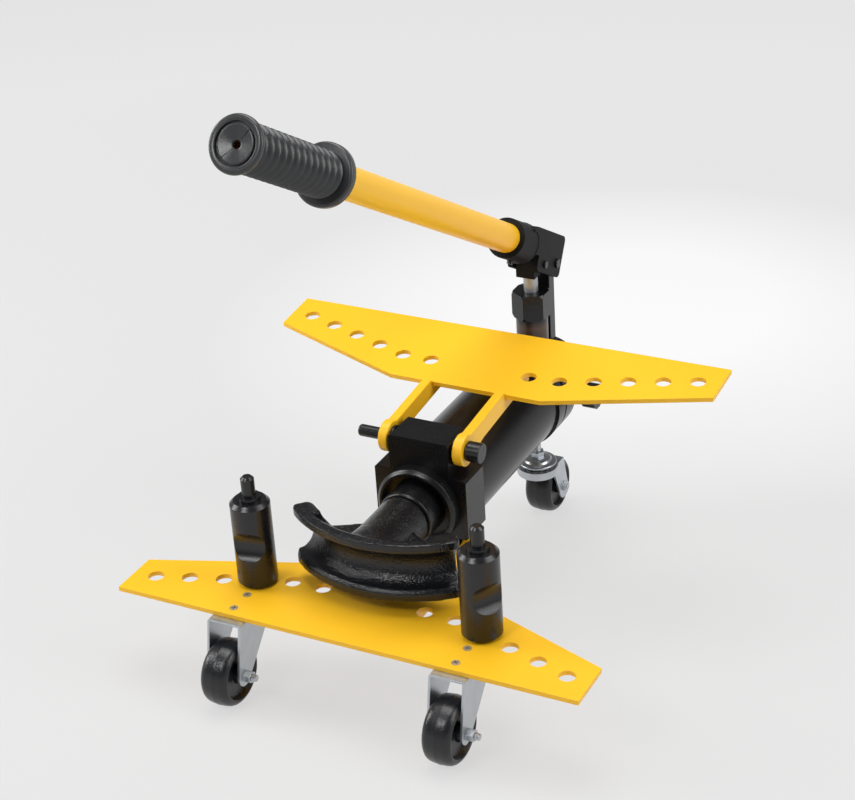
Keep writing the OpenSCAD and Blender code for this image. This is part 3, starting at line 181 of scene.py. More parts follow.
CAMERA_AT = Vector((1033.3, -1635.1, 1326.3))
CAMERA_TURN = radians(28.6705)
CAMERA_RISE = radians(27.9411)
CAMERA_ROLL = radians(-3.7439)
LENS = 85.94
SENSOR = 36
back = Vector((sin(CAMERA_TURN) * cos(CAMERA_RISE), -cos(CAMERA_TURN) * cos(CAMERA_RISE),
               sin(CAMERA_RISE)))
level_right = Vector((cos(CAMERA_TURN), sin(CAMERA_TURN), 0))
level_up = back.cross(level_right)
right = cos(CAMERA_ROLL) * level_right + sin(CAMERA_ROLL) * level_up
up = cos(CAMERA_ROLL) * level_up - sin(CAMERA_ROLL) * level_right
lens = bpy.data.cameras.new("photo_camera")
lens.lens = LENS
lens.sensor_width = SENSOR
camera = bpy.data.objects.new("photo_camera", lens)
facing = tilt @ Matrix((right, up, back)).transposed()
camera.matrix_world = Matrix.Translation(level @ CAMERA_AT) @ facing.to_4x4()
scene.collection.objects.link(camera)
scene.camera = camera

# Wing plates and hinge arms: 6 mm steel cut to shape, drilled for the pillars and powder coated
# amber. Each arm is a flat bar welded along its wing, with a bored eye for the hinge pin.
GRAIN_DEPTH = 0.0004
EDGE_ANGLE = radians(28)
SMOOTH_ANGLE = radians(42)
FLAT_ANGLE = radians(0.6)
NODE_MERGE = 0.00002


def skin_group():
    group = bpy.data.node_groups.new("skin_variation", "ShaderNodeTree")
    sockets = group.interface
    sockets.new_socket("Colour", in_out="INPUT", socket_type="NodeSocketColor")
    for name in ("Drift", "Drift Scale", "Grain Scale", "Grain", "Roughness", "Roughness Spread"):
        sockets.new_socket(name, in_out="INPUT", socket_type="NodeSocketFloat")
    sockets.new_socket("Colour", in_out="OUTPUT", socket_type="NodeSocketColor")
    sockets.new_socket("Roughness", in_out="OUTPUT", socket_type="NodeSocketFloat")
    sockets.new_socket("Normal", in_out="OUTPUT", socket_type="NodeSocketVector")
    made, wire = group.nodes, group.links
    given = made.new("NodeGroupInput")
    result = made.new("NodeGroupOutput")
    place = made.new("ShaderNodeTexCoord")
    drift = made.new("ShaderNodeTexNoise")
    drift.inputs["Detail"].default_value = 4
    grain = made.new("ShaderNodeTexNoise")
    grain.inputs["Detail"].default_value = 1
    for noise, scale in ((drift, "Drift Scale"), (grain, "Grain Scale")):
        wire.new(place.outputs["Object"], noise.inputs["Vector"])
        wire.new(given.outputs[scale], noise.inputs["Scale"])
    centred = made.new("ShaderNodeMath")
    centred.operation = "SUBTRACT"
    centred.inputs[1].default_value = 0.5
    wire.new(drift.outputs["Fac"], centred.inputs[0])
    shade = made.new("ShaderNodeMath")
    shade.operation = "MULTIPLY_ADD"
    shade.inputs[2].default_value = 1
    wire.new(centred.outputs[0], shade.inputs[0])
    wire.new(given.outputs["Drift"], shade.inputs[1])
    tinted = made.new("ShaderNodeVectorMath")
    tinted.operation = "SCALE"
    wire.new(given.outputs["Colour"], tinted.inputs[0])
    wire.new(shade.outputs[0], tinted.inputs["Scale"])
    wire.new(tinted.outputs[0], result.inputs["Colour"])
    rough = made.new("ShaderNodeMath")
    rough.operation = "MULTIPLY_ADD"
    wire.new(centred.outputs[0], rough.inputs[0])
    wire.new(given.outputs["Roughness Spread"], rough.inputs[1])
    wire.new(given.outputs["Roughness"], rough.inputs[2])
    wire.new(rough.outputs[0], result.inputs["Roughness"])
    bump = made.new("ShaderNodeBump")
    bump.inputs["Distance"].default_value = GRAIN_DEPTH
    raised = made.new("ShaderNodeMath")
    raised.operation = "MULTIPLY"
    wire.new(grain.outputs["Fac"], raised.inputs[0])
    wire.new(given.outputs["Grain"], raised.inputs[1])
    wire.new(raised.outputs[0], bump.inputs["Height"])
    wire.new(bump.outputs["Normal"], result.inputs["Normal"])
    return group


skin_variation = skin_group()


def finish_material(name, colour, drift, drift_scale, grain_scale, grain, roughness, spread,
                    metallic=0.0, specular=0.5, coat=0.0, coat_roughness=0.03):
    made, nodes, links = new_material(name)
    shader = nodes["Principled BSDF"]
    shader.inputs["Metallic"].default_value = metallic
    shader.inputs["Specular IOR Level"].default_value = specular
    shader.inputs["Coat Weight"].default_value = coat
    shader.inputs["Coat Roughness"].default_value = coat_roughness
    skin = nodes.new("ShaderNodeGroup")
    skin.node_tree = skin_variation
    skin.inputs["Colour"].default_value = (*colour, 1)
    skin.inputs["Drift"].default_value = drift
    skin.inputs["Drift Scale"].default_value = drift_scale
    skin.inputs["Grain Scale"].default_value = grain_scale
    skin.inputs["Grain"].default_value = grain
    skin.inputs["Roughness"].default_value = roughness
    skin.inputs["Roughness Spread"].default_value = spread
    links.new(skin.outputs["Colour"], shader.inputs["Base Color"])
    links.new(skin.outputs["Roughness"], shader.inputs["Roughness"])
    links.new(skin.outputs["Normal"], shader.inputs["Normal"])
    return made


amber_coat = finish_material(
    "amber_powder_coat", (0.86, 0.47, 0.012), drift=0.08, drift_scale=9, grain_scale=900, grain=0.1,
    roughness=0.4, spread=0.12, specular=0.35, coat=0.15, coat_roughness=0.2)


def softened_edges(mesh, width, segments=2):
    sharp = [e for e in mesh.edges if len(e.link_faces) == 2 and e.calc_face_angle() > EDGE_ANGLE]
    bmesh.ops.bevel(mesh, geom=sharp, offset=width * MM, offset_type="OFFSET", segments=segments,
                    profile=0.5, affect="EDGES", clamp_overlap=True, material=-1)


def finished_piece(name, mesh, material, slot, body, *replaced):
    for face in mesh.faces:
        face.smooth = True
    for edge in mesh.edges:
        edge.smooth = len(edge.link_faces) != 2 or edge.calc_face_angle() < SMOOTH_ANGLE
    piece = linked_object(name, mesh)
    piece.data.materials.append(material)
    weighted = piece.modifiers.new("even_normals", "WEIGHTED_NORMAL")
    weighted.keep_sharp = True
    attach(piece, body)
    if replaced:
        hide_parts(*replaced)
    return piece


def joined_node(node):
    mesh = bmesh.new()
    mesh.from_mesh(frame["nodes"][node].data)
    bmesh.ops.remove_doubles(mesh, verts=mesh.verts, dist=NODE_MERGE)
    bmesh.ops.dissolve_limit(mesh, angle_limit=FLAT_ANGLE, verts=mesh.verts, edges=mesh.edges,
                             use_dissolve_boundaries=False)
    return mesh


def dressed(node, material, slot, width, segments=2):
    mesh = joined_node(node)
    softened_edges(mesh, width, segments)
    return finished_piece(node + "_dressed", mesh, material, slot, body_of[node], node)


for plate in ("lower_wing_plate", "upper_wing_plate"):
    dressed(plate, amber_coat, "amber_paint", 0.7)
for arm in ("upper_left_arm", "upper_right_arm", "lower_left_arm", "lower_right_arm"):
    dressed(arm, amber_coat, "amber_paint", 1.6, segments=3)

# Weld beads of the arms: rippled runs of weld along both sides of each arm and across the edge
# of its wing, under the same amber coat.
WING_EDGE = 136
ARM_START = 68
ARM_SIDES = (44, 56)
WING_FACE = 125
WING_INNER = 119
WELD_R = 2.4
EDGE_WELD = 0.7
RIPPLE = (0.86, 1.0, 1.1, 0.96)
RIPPLE_STEP = 1.6
BEAD_MERGE = 0.001
HINGE_OPEN = radians(-174.5)
hinge_shift = Matrix.Translation((0, HINGE_Y, HINGE_Z))
laid_back = hinge_shift @ Matrix.Rotation(HINGE_OPEN, 4, "X") @ hinge_shift.inverted()
below = Matrix.Translation((0, 0, WING_INNER)) @ Matrix.Scale(-1, 4, (0, 0, 1))


def weld_bead(points, radius, place, closed=False):
    run = bpy.data.curves.new("weld_run", "CURVE")
    run.dimensions = "3D"
    run.bevel_depth = radius
    run.bevel_resolution = 2
    run.use_fill_caps = True
    line = run.splines.new("POLY")
    line.points.add(len(points) - 1)
    line.use_cyclic_u = closed
    for i, (point, given) in enumerate(zip(line.points, points)):
        point.co = (*given, 1)
        point.radius = RIPPLE[i % len(RIPPLE)]
    held = bpy.data.objects.new("weld_run", run)
    swept = bpy.data.meshes.new_from_object(held)
    mesh = bmesh.new()
    mesh.from_mesh(swept)
    bpy.data.objects.remove(held)
    bpy.data.meshes.remove(swept)
    bmesh.ops.remove_doubles(mesh, verts=mesh.verts, dist=BEAD_MERGE)
    bmesh.ops.transform(mesh, matrix=place, verts=mesh.verts)
    bmesh.ops.recalc_face_normals(mesh, faces=mesh.faces)
    return mesh


def straight_run(start, end):
    start, end = Vector(start), Vector(end)
    count = max(2, int((end - start).length / RIPPLE_STEP))
    return [start.lerp(end, i / count) for i in range(count + 1)]


def gathered(meshes):
    whole = bmesh.new()
    for mesh in meshes:
        carried = bpy.data.meshes.new("carried")
        mesh.to_mesh(carried)
        mesh.free()
        whole.from_mesh(carried)
        bpy.data.meshes.remove(carried)
    return whole


for wing, turned, body in (
        ("upper", level @ laid_back, "upper_wing"),
        ("lower", level @ below, "frame")):
    runs = []
    for side in (-1, 1):
        for x in ARM_SIDES:
            along = straight_run((side * x, ARM_START, WING_FACE), (side * x, WING_EDGE, WING_FACE))
            runs.append(weld_bead(along, WELD_R, turned))
        ends = [(side * x, WING_EDGE, WING_INNER) for x in ARM_SIDES]
        runs.append(weld_bead(straight_run(*ends), WELD_R * EDGE_WELD, turned))
    finished_piece(wing + "_arm_welds", gathered(runs), amber_coat, "amber_paint", body)

# Yoke block, gland collar and ram: machined steel with satin black paint. The block takes both
# hinge pins and the collar screws into its front round the ram.
satin_black = finish_material(
    "satin_black_paint", (0.0045, 0.0045, 0.0052), drift=0.3, drift_scale=14, grain_scale=700,
    grain=0.3, roughness=0.27, spread=0.14, specular=0.42)
dressed("yoke_block", satin_black, "satin_black", 1.6, segments=3)
dressed("gland_collar", satin_black, "satin_black", 0.5)
dressed("ram", satin_black, "satin_black", 0.8)

# Hinge pins: turned steel bar with an upset head and a black oxide finish. Each slides through the
# yoke block and the eyes of two arms.
oxide = finish_material(
    "black_oxide", (0.006, 0.0062, 0.0075), drift=0.3, drift_scale=18, grain_scale=1200, grain=0.1,
    roughness=0.27, spread=0.14)
for pin in ("upper_hinge_pin", "lower_hinge_pin"):
    dressed(pin, oxide, "black_oxide", 1.4, segments=3)

# Cylinder: drawn steel tube over the pressure tube, held between the yoke block and the pump base
# and sprayed gloss black. The filler plug on top is turned from bare steel.
gloss_black = finish_material(
    "gloss_black_paint", (0.007, 0.007, 0.008), drift=0.2, drift_scale=6, grain_scale=500, grain=0.05,
    roughness=0.24, spread=0.1, specular=0.2, coat=0.15, coat_roughness=0.1)
dressed("reservoir_tube", gloss_black, "gloss_black", 0.8)
turned_steel = finish_material(
    "turned_steel", (0.42, 0.43, 0.45), drift=0.12, drift_scale=40, grain_scale=1500, grain=0.06,
    roughness=0.32, spread=0.14, metallic=1.0)
dressed("filler_plug", turned_steel, "steel", 0.6)

# Bending die: grey iron cast in sand and painted black. The grooved rim, the web and the neck run
# into each other with cast fillets, and the neck slips over the nose of the ram.
AXIS_Z = 59.5
RIM_R = 165.6
RIM_Y = 228
RIM_ARC = radians(42.5)
PIPE_R = 24.25
LIP_Z = 38
LIP_W = 25
LIP_NARROW = 14
PAD_ARC = radians(31)
PAD_STEP = radians(1.5)
FLARE_Y = 72
FLARE_R = 35.5
FLARE_BACK = 124
FLARE_LONG = 18
FLARE_EASE = (16, 0.7)
LIP_FLARE = 4
LIP_MOUTH = 28
LIP_FOOT = (4, 2)
LIP_NEAR = 1
BACK_WALL = 13
BACK_R = RIM_R - PIPE_R - BACK_WALL
BACK_Z = 14
TIP_ARC = radians(4)
TIP_MID = 12
TIP_ROUND = 0.8
NECK_R = 33
NECK_WALL = 6.5
NECK_Y = RIM_Y - RIM_R + PIPE_R + NECK_WALL
NECK_EDGE = 2
FACE_Y = 178
NOSE_R = 20.1
NOSE_DEEP = 45.1
NOSE_Y = FACE_Y - NOSE_DEEP
WEB_H = 20
WEB_OUT = 84
WEB_IN = 22
WEB_LONG = 86
WEB_REAR = RIM_Y - RIM_R + WEB_LONG
FILLET_IN = 9
FILLET_TURNS = 9
SURFACE_TURNS = 2
BED_STEPS = 24
RIM_STEPS = 120
NECK_STEPS = 64
DIE_MERGE = 0.005
CAST_GRID = 0.0014


def eased(mesh, verts, turns):
    for turn in range(turns):
        bmesh.ops.smooth_vert(mesh, verts=verts, factor=0.5, use_axis_x=True, use_axis_y=True,
                              use_axis_z=True)


def cast_die():
    mesh = bmesh.new()
    bed_z = sqrt(PIPE_R ** 2 - LIP_FLARE ** 2)
    half = [(RIM_R, LIP_MOUTH), (RIM_R, LIP_Z), (RIM_R - LIP_W, LIP_Z),
            (RIM_R - LIP_W - LIP_FOOT[0], PIPE_R + LIP_FOOT[1]), (BACK_R, BACK_Z)]
    corners = half + [(r, -z) for r, z in reversed(half)] + [(RIM_R - LIP_FLARE, -bed_z)]
    ring = [mesh.verts.new((r, 0, z)) for r, z in corners]
    for pair in zip(ring, ring[1:]):
        mesh.edges.new(pair)
    bed_arc = 2 * atan2(bed_z, LIP_FLARE)
    bed = bmesh.ops.spin(mesh, geom=[ring[-1]], axis=(0, 1, 0), cent=(RIM_R, 0, 0), dvec=(0, 0, 0),
                         angle=bed_arc, steps=BED_STEPS)
    mesh.edges.new((bed["geom_last"][0], ring[0]))
    bmesh.ops.contextual_create(mesh, geom=mesh.verts[:] + mesh.edges[:])
    bmesh.ops.rotate(mesh, matrix=Matrix.Rotation(-pi / 2 - RIM_ARC, 3, "Z"), verts=mesh.verts)
    bmesh.ops.spin(mesh, geom=mesh.faces[:] + mesh.edges[:] + mesh.verts[:], axis=(0, 0, 1),
                   cent=(0, 0, 0), dvec=(0, 0, 0), angle=2 * RIM_ARC, steps=RIM_STEPS)
    for vert in mesh.verts:
        arc = abs(atan2(vert.co.x, -vert.co.y))
        reach = max(0, arc - RIM_ARC + TIP_ARC) / TIP_ARC
        radius = vert.co.to_2d().length
        drawn = radius
        if abs(vert.co.z) > PIPE_R + LIP_NEAR and radius < RIM_R - LIP_W + LIP_NEAR:
            drawn += (LIP_W - LIP_NARROW) * min(1, max(0, (PAD_ARC - arc) / PAD_STEP))
        if abs(vert.co.z) > PIPE_R:
            drawn += (RIM_R - TIP_MID - drawn) * (1 - sqrt(1 - (TIP_ROUND * reach) ** 2))
        vert.co.xy *= drawn / radius
    bmesh.ops.translate(mesh, vec=(0, RIM_Y, 0), verts=mesh.verts)
    front = RIM_Y - sqrt((RIM_R - LIP_W) ** 2 - WEB_OUT ** 2)
    outline = [(-WEB_OUT, front), (0, NECK_Y), (WEB_OUT, front), (WEB_IN, WEB_REAR), (-WEB_IN, WEB_REAR)]
    web = mesh.faces.new([mesh.verts.new((x, y, -WEB_H / 2)) for x, y in outline])
    raised = bmesh.ops.extrude_face_region(mesh, geom=[web])
    top = [part for part in raised["geom"] if isinstance(part, bmesh.types.BMVert)]
    bmesh.ops.translate(mesh, vec=(0, 0, WEB_H), verts=top)
    neck = [(FLARE_Y, 0), (FLARE_Y, FLARE_R), (FLARE_Y + FLARE_LONG, FLARE_R),
            (FLARE_BACK - FLARE_EASE[0], NECK_R + FLARE_EASE[1]), (FLARE_BACK, NECK_R),
            (FACE_Y - NECK_EDGE, NECK_R), (FACE_Y, NECK_R - NECK_EDGE), (FACE_Y, NOSE_R),
            (NOSE_Y, NOSE_R), (NOSE_Y, 0)]
    verts = [mesh.verts.new((r, y, 0)) for y, r in neck]
    edges = [mesh.edges.new(pair) for pair in zip(verts, verts[1:])]
    bmesh.ops.spin(mesh, geom=verts + edges, axis=(0, 1, 0), cent=(0, 0, 0), dvec=(0, 0, 0),
                   angle=2 * pi, steps=NECK_STEPS, use_merge=True)
    bmesh.ops.remove_doubles(mesh, verts=mesh.verts, dist=DIE_MERGE)
    bmesh.ops.recalc_face_normals(mesh, faces=mesh.faces)
    bmesh.ops.translate(mesh, vec=(0, 0, AXIS_Z), verts=mesh.verts)
    bmesh.ops.transform(mesh, matrix=level, verts=mesh.verts)
    pattern = linked_object("die_pattern", mesh)
    poured = pattern.modifiers.new("poured", "REMESH")
    poured.mode = "VOXEL"
    poured.voxel_size = CAST_GRID
    cast = bmesh.new()
    cast.from_mesh(pattern.evaluated_get(bpy.context.evaluated_depsgraph_get()).to_mesh())
    bpy.data.objects.remove(pattern)
    centred = Matrix.Translation((0, -RIM_Y, -AXIS_Z)) @ level.inverted()
    bmesh.ops.transform(cast, matrix=centred, verts=cast.verts)
    eased(cast, [v for v in cast.verts if v.co.to_2d().length < RIM_R - FILLET_IN], FILLET_TURNS)
    for vert in cast.verts:
        radius = vert.co.to_2d().length
        bedded = Vector((radius - RIM_R, vert.co.z))
        if bedded.length < PIPE_R and bedded.x < -LIP_FLARE:
            bedded *= PIPE_R / bedded.length
            vert.co.xy *= (RIM_R + bedded.x) / radius
            vert.co.z = bedded.y
    eased(cast, cast.verts, SURFACE_TURNS)
    bmesh.ops.transform(cast, matrix=centred.inverted(), verts=cast.verts)
    return cast


cast_black = finish_material(
    "sand_cast_black", (0.005, 0.0056, 0.007), drift=0.3, drift_scale=25, grain_scale=460, grain=2.0,
    roughness=0.2, spread=0.14, specular=0.45)
finished_piece("bending_die_dressed", cast_die(), cast_black, "cast_black", "ram_train", "bending_die")

# Pillars: turned steel bar with a notch on each side and a peg on top, black oxide finish. They
# stand loose in the holes of the lower wing.
for pillar in ("left_pillar", "right_pillar"):
    dressed(pillar, oxide, "black_oxide", 1.0, segments=3)

# Pump: turned base with the barrel welded on, gland nut, fulcrum post and release valve, all in
# satin black, and the bare heat mark that the weld left round the foot of the barrel.
BASE_Y = 495
BASE_R = 63
SHOULDER = 53
TAPER = 24
TAIL_R = 49
BARREL_Y = 555.02
BARREL_R = 21
POST_Y = 592
POST_HALF = (13, 8)
FOOT_STEPS = 80
BARREL_BLACK = (0.006, 0.006, 0.0066)
HEAT_BROWN = (0.075, 0.042, 0.024)
HEAT_TOP = 157.5
HEAT_FADE = 36
HEAT_PEAK = 0.25
NUT_CORNER = 25
NUT_CHAMFER = 4.5
for part in ("pump_base", "fulcrum_post", "valve_gland", "release_valve"):
    dressed(part, satin_black, "satin_black", 0.8)
mesh = joined_node("gland_nut")
flat = level.inverted()
barrel_axis = Vector((0, BARREL_Y, 0))
corners = [v for v in mesh.verts if (flat @ v.co - barrel_axis).to_2d().length > NUT_CORNER]
bmesh.ops.bevel(mesh, geom=corners, offset=NUT_CHAMFER * MM, offset_type="OFFSET", segments=1,
                profile=0.5, affect="VERTICES", clamp_overlap=True, material=-1)
softened_edges(mesh, 0.6)
finished_piece("gland_nut_dressed", mesh, satin_black, "satin_black", body_of["gland_nut"], "gland_nut")
heat_marked = finish_material(
    "heat_marked_black", BARREL_BLACK, drift=0.3, drift_scale=14, grain_scale=700, grain=0.3,
    roughness=0.3, spread=0.16)
nodes, links = heat_marked.node_tree.nodes, heat_marked.node_tree.links
place = nodes.new("ShaderNodeTexCoord")
axes = nodes.new("ShaderNodeSeparateXYZ")
band = nodes.new("ShaderNodeMapRange")
band.inputs["From Min"].default_value = (level @ Vector((0, BARREL_Y, HEAT_TOP))).z
band.inputs["From Max"].default_value = (level @ Vector((0, BARREL_Y, HEAT_TOP - HEAT_FADE))).z
burnt = nodes.new("ShaderNodeValToRGB")
burnt.color_ramp.elements.new(HEAT_PEAK)
for stop, colour in zip(burnt.color_ramp.elements, (BARREL_BLACK, HEAT_BROWN, BARREL_BLACK)):
    stop.color = (*colour, 1)
links.new(place.outputs["Object"], axes.inputs["Vector"])
links.new(axes.outputs["Z"], band.inputs["Value"])
links.new(band.outputs["Result"], burnt.inputs["Fac"])
links.new(burnt.outputs["Color"], nodes["Group"].inputs["Colour"])
dressed("pump_barrel", heat_marked, "satin_black", 0.8)


def base_top(x, y):
    slope = min(1, max(0, (y - BASE_Y - SHOULDER) / TAPER))
    return AXIS_Z + sqrt((BASE_R + (TAIL_R - BASE_R) * slope) ** 2 - x ** 2)


def round_run(radius, count):
    turns = [i * 2 * pi / count for i in range(count)]
    return [(radius * cos(turn), radius * sin(turn)) for turn in turns]


heat_tint = finish_material(
    "heat_tinted_weld", (0.07, 0.045, 0.03), drift=0.7, drift_scale=120, grain_scale=700, grain=0.3,
    roughness=0.45, spread=0.2, metallic=0.5)
foot = [(x, BARREL_Y + y) for x, y in round_run(BARREL_R, FOOT_STEPS)]
ring = weld_bead([(x, y, base_top(x, y)) for x, y in foot], WELD_R, level, closed=True)
finished_piece("barrel_weld", ring, heat_tint, "satin_black", "frame")
corners = [(-1, -1), (1, -1), (1, 1), (-1, 1), (-1, -1)]
ends = [(a * POST_HALF[0], POST_Y + b * POST_HALF[1], 0) for a, b in corners]
foot = [point for pair in zip(ends, ends[1:]) for point in straight_run(*pair)[:-1]]
ring = weld_bead([(p.x, p.y, base_top(p.x, p.y)) for p in foot], WELD_R, level, closed=True)
finished_piece("post_weld", ring, satin_black, "satin_black", "frame")

# Plunger: ground and chromed rod screwed into a blackened head, which the plunger pin drives
# through a slot.
PUMP_PIN_Z = 236.0
HEAD_DROP = 16
SKIM = 0.0001
CUT_NEAR = 0.00001


def cut_closed(mesh, at, facing, keep_below=True):
    cut = bmesh.ops.bisect_plane(mesh, geom=mesh.verts[:] + mesh.edges[:] + mesh.faces[:],
                                 dist=CUT_NEAR, plane_co=at, plane_no=facing,
                                 clear_outer=keep_below, clear_inner=not keep_below)
    rim = [part for part in cut["geom_cut"] if isinstance(part, bmesh.types.BMEdge)]
    bmesh.ops.edgeloop_fill(mesh, edges=rim)


plunger_chrome = finish_material(
    "plunger_chrome", (0.42, 0.43, 0.45), drift=0.1, drift_scale=30, grain_scale=1500, grain=0.03,
    roughness=0.42, spread=0.06, metallic=0.75)
dull_black = finish_material(
    "dull_black", (0.004, 0.004, 0.0045), drift=0.3, drift_scale=14, grain_scale=700, grain=0.2,
    roughness=0.55, spread=0.1, specular=0.16)
head_foot = level @ Vector((0, BARREL_Y, PUMP_PIN_Z - HEAD_DROP))
head_up = tilt @ Vector((0, 0, 1))
for name, material, slot, below_head, replaced in (
        ("plunger_rod_dressed", plunger_chrome, "ground_steel", True, ("plunger",)),
        ("plunger_head_dressed", dull_black, "satin_black", False, ())):
    mesh = joined_node("plunger")
    softened_edges(mesh, 0.7)
    cut_closed(mesh, head_foot - head_up * SKIM, head_up, below_head)
    finished_piece(name, mesh, material, slot, "pump_plunger", *replaced)
for part in ("plunger_pin", "fulcrum_pin"):
    dressed(part, oxide, "steel", 0.8, segments=3)

# Lever: forked steel socket that rocks on the fulcrum pin, with a rolled seam, and an amber coated
# tube that a set screw holds in it.
LEVER_RISE = radians(-30.2)
FULCRUM = (0, 592, 222)
SOCKET_RISE = 13.3
SEAM_R = 25.9
SEAM_AT = 82
SEAM_BEAD = 1.1
SEAM_STEPS = 96
dressed("lever_socket", dull_black, "satin_black", 1.6, segments=3)
dressed("socket_screw", oxide, "satin_black", 0.4)
lever_line = (Matrix.Translation(FULCRUM) @ Matrix.Rotation(LEVER_RISE, 4, "X")
              @ Matrix.Translation((0, 0, SOCKET_RISE)) @ Matrix.Rotation(pi / 2, 4, "X"))
seam = [(x, y, SEAM_AT) for x, y in round_run(SEAM_R, SEAM_STEPS)]
ring = weld_bead(seam, SEAM_BEAD, level @ lever_line, closed=True)
finished_piece("socket_seam", ring, satin_black, "satin_black", body_of["lever_socket"])
dressed("lever_tube", amber_coat, "amber_paint", 0.6)

# Grip: moulded rubber sleeve pushed over the tube, with a hand guard, finger ribs and a cupped end
# that shows the vent and the parting line of the mould.
GUARD = (612, 624)
GUARD_R = 35
GUARD_GAP = 0.3
SLEEVE_R = 20.75
TUBE_R = 19.1
RIB_START = 629
RIB_PITCH = 13.1
RIB_COUNT = 13
RIB_POINTS = 8
RIB_R = 26.35
END = (796.2, 804.2)
END_R = 30.25
END_FOOT = 1.5
EDGE_R = 3.4
EDGE_STEPS = 5
CUP_R = 23
CUP_EDGE = (1, 0.8)
DISC_R = 20.4
DISC_EDGE = ((1, 0.5), (2, 0.4))
CUP_IN = 1.4
CUP_DEEP = 3.8
VENT_R = 4.5
VENT_EDGE = (1.5, 0.8)
WALL_IN = 8
GRIP_STEPS = 120
SPUN_MERGE = 0.001
PARTING_TURN = radians(49.5)
PARTING_DEEP = 1.1
PARTING_FACING = 0.3


def rounded_edge(r, z, start):
    turns = [start + i * pi / 2 / EDGE_STEPS for i in range(EDGE_STEPS + 1)]
    return [(r + EDGE_R * cos(turn), z + EDGE_R * sin(turn)) for turn in turns]


def spun(profile, place, steps):
    mesh = bmesh.new()
    verts = [mesh.verts.new((r, 0, z)) for r, z in profile]
    edges = [mesh.edges.new(pair) for pair in zip(verts, verts[1:] + verts[:1])]
    bmesh.ops.spin(mesh, geom=verts + edges, axis=(0, 0, 1), cent=(0, 0, 0), dvec=(0, 0, 0),
                   angle=2 * pi, steps=steps, use_merge=True)
    bmesh.ops.remove_doubles(mesh, verts=mesh.verts, dist=SPUN_MERGE)
    bmesh.ops.recalc_face_normals(mesh, faces=mesh.faces)
    bmesh.ops.transform(mesh, matrix=place, verts=mesh.verts)
    return mesh


def sunk_faces(mesh, faces, depth):
    sunk = bmesh.ops.extrude_face_region(mesh, geom=faces)
    bmesh.ops.delete(mesh, geom=faces, context="FACES")
    floor = [part for part in sunk["geom"] if isinstance(part, bmesh.types.BMVert)]
    bmesh.ops.translate(mesh, vec=(0, 0, -depth), verts=floor)


grip_shape = rounded_edge(GUARD_R - EDGE_R, GUARD[0] + EDGE_R, -pi / 2)
grip_shape += rounded_edge(GUARD_R - EDGE_R, GUARD[1] - EDGE_R, 0)
for i in range(RIB_COUNT * RIB_POINTS + 1):
    along = RIB_START - RIB_PITCH / 2 + i * RIB_PITCH / RIB_POINTS
    swell = 0.5 - 0.5 * cos(i * 2 * pi / RIB_POINTS)
    grip_shape.append((SLEEVE_R + (RIB_R - SLEEVE_R) * swell, max(along, GUARD[1] + GUARD_GAP)))
rim_z = END[1]
cup_z = rim_z - CUP_DEEP
disc_z = rim_z - CUP_IN
wall_z = rim_z - WALL_IN
grip_shape += [(SLEEVE_R, END[0] - END_FOOT), (SLEEVE_R + END_FOOT, END[0])]
grip_shape += rounded_edge(END_R - EDGE_R, END[0] + EDGE_R, -pi / 2)
grip_shape += rounded_edge(END_R - EDGE_R, rim_z - EDGE_R, 0)
grip_shape += [(CUP_R + CUP_EDGE[0], rim_z), (CUP_R, rim_z - CUP_EDGE[1]), (CUP_R, cup_z)]
grip_shape += [(DISC_R, cup_z), (DISC_R, disc_z)]
grip_shape += [(DISC_R - inward, disc_z + rise) for inward, rise in DISC_EDGE]
grip_shape += [(VENT_R + VENT_EDGE[0], cup_z), (VENT_R, cup_z - VENT_EDGE[1]), (VENT_R, wall_z)]
grip_shape += [(TUBE_R, wall_z), (TUBE_R, GUARD[0])]
grip = spun(grip_shape, Matrix(), GRIP_STEPS)
slit = []
for face in grip.faces:
    middle = face.calc_center_median()
    turned = (atan2(middle.y, middle.x) - PARTING_TURN) % pi
    in_line = min(turned, pi - turned) < pi / GRIP_STEPS
    on_disc = VENT_R < middle.to_2d().length < DISC_R and middle.z > END[0]
    if in_line and on_disc and face.normal.z > PARTING_FACING:
        slit.append(face)
sunk_faces(grip, slit, PARTING_DEEP)
bmesh.ops.recalc_face_normals(grip, faces=grip.faces)
bmesh.ops.transform(grip, matrix=level @ lever_line, verts=grip.verts)
grip_rubber = finish_material(
    "grip_rubber", (0.036, 0.037, 0.039), drift=0.25, drift_scale=20, grain_scale=1400, grain=0.2,
    roughness=0.26, spread=0.1, specular=0.4)
finished_piece("lever_grip_dressed", grip, grip_rubber, "grip_rubber", "lever", "lever_grip")

# Front castors: brackets bent from zinc-plated sheet under the lower wing, and wheels moulded in
# black nylon, with a parting line round the tread, on through bolts with nuts.
CASTOR_X = 145.5
FRONT_AXLE = (-11, -74.8)
BRACKET_HALF = 22.5
BRACKET_TOP = -6
BEND_R = 3.6
BEND_NEAR = 0.1
BEND_MERGE = 0.0003
FRONT_WHEEL = {"diameter": 81.2, "width": 36, "hub": 38.2}
HUB_SIDE = ((4.05, 0), (10, 0), (11, 1))
WEB_SIDE = ((11.8, 5.5), (13.5, 6.4))
TYRE_SIDE = ((13, 6), (10, 1), (9.2, 0.2), (8.4, 0), (7.2, 0), (6.6, 0.3), (5, 1.4), (3, 3.2),
             (1.5, 6), (0.7, 10))
TREAD_LINE = ((0.3, 1.4), (0, 0.6))
WHEEL_STEPS = 96
AXLE_THREAD = {"radius": 4.3, "pitch": 1.25, "start": 32.4, "end": 38.3}
THREAD_DEEP = 0.35
THREAD_WALL = 1.2
THREAD_STEPS = 32
bright_zinc = finish_material(
    "bright_zinc", (0.5, 0.53, 0.56), drift=0.35, drift_scale=60, grain_scale=900, grain=0.1,
    roughness=0.34, spread=0.22, metallic=0.9)
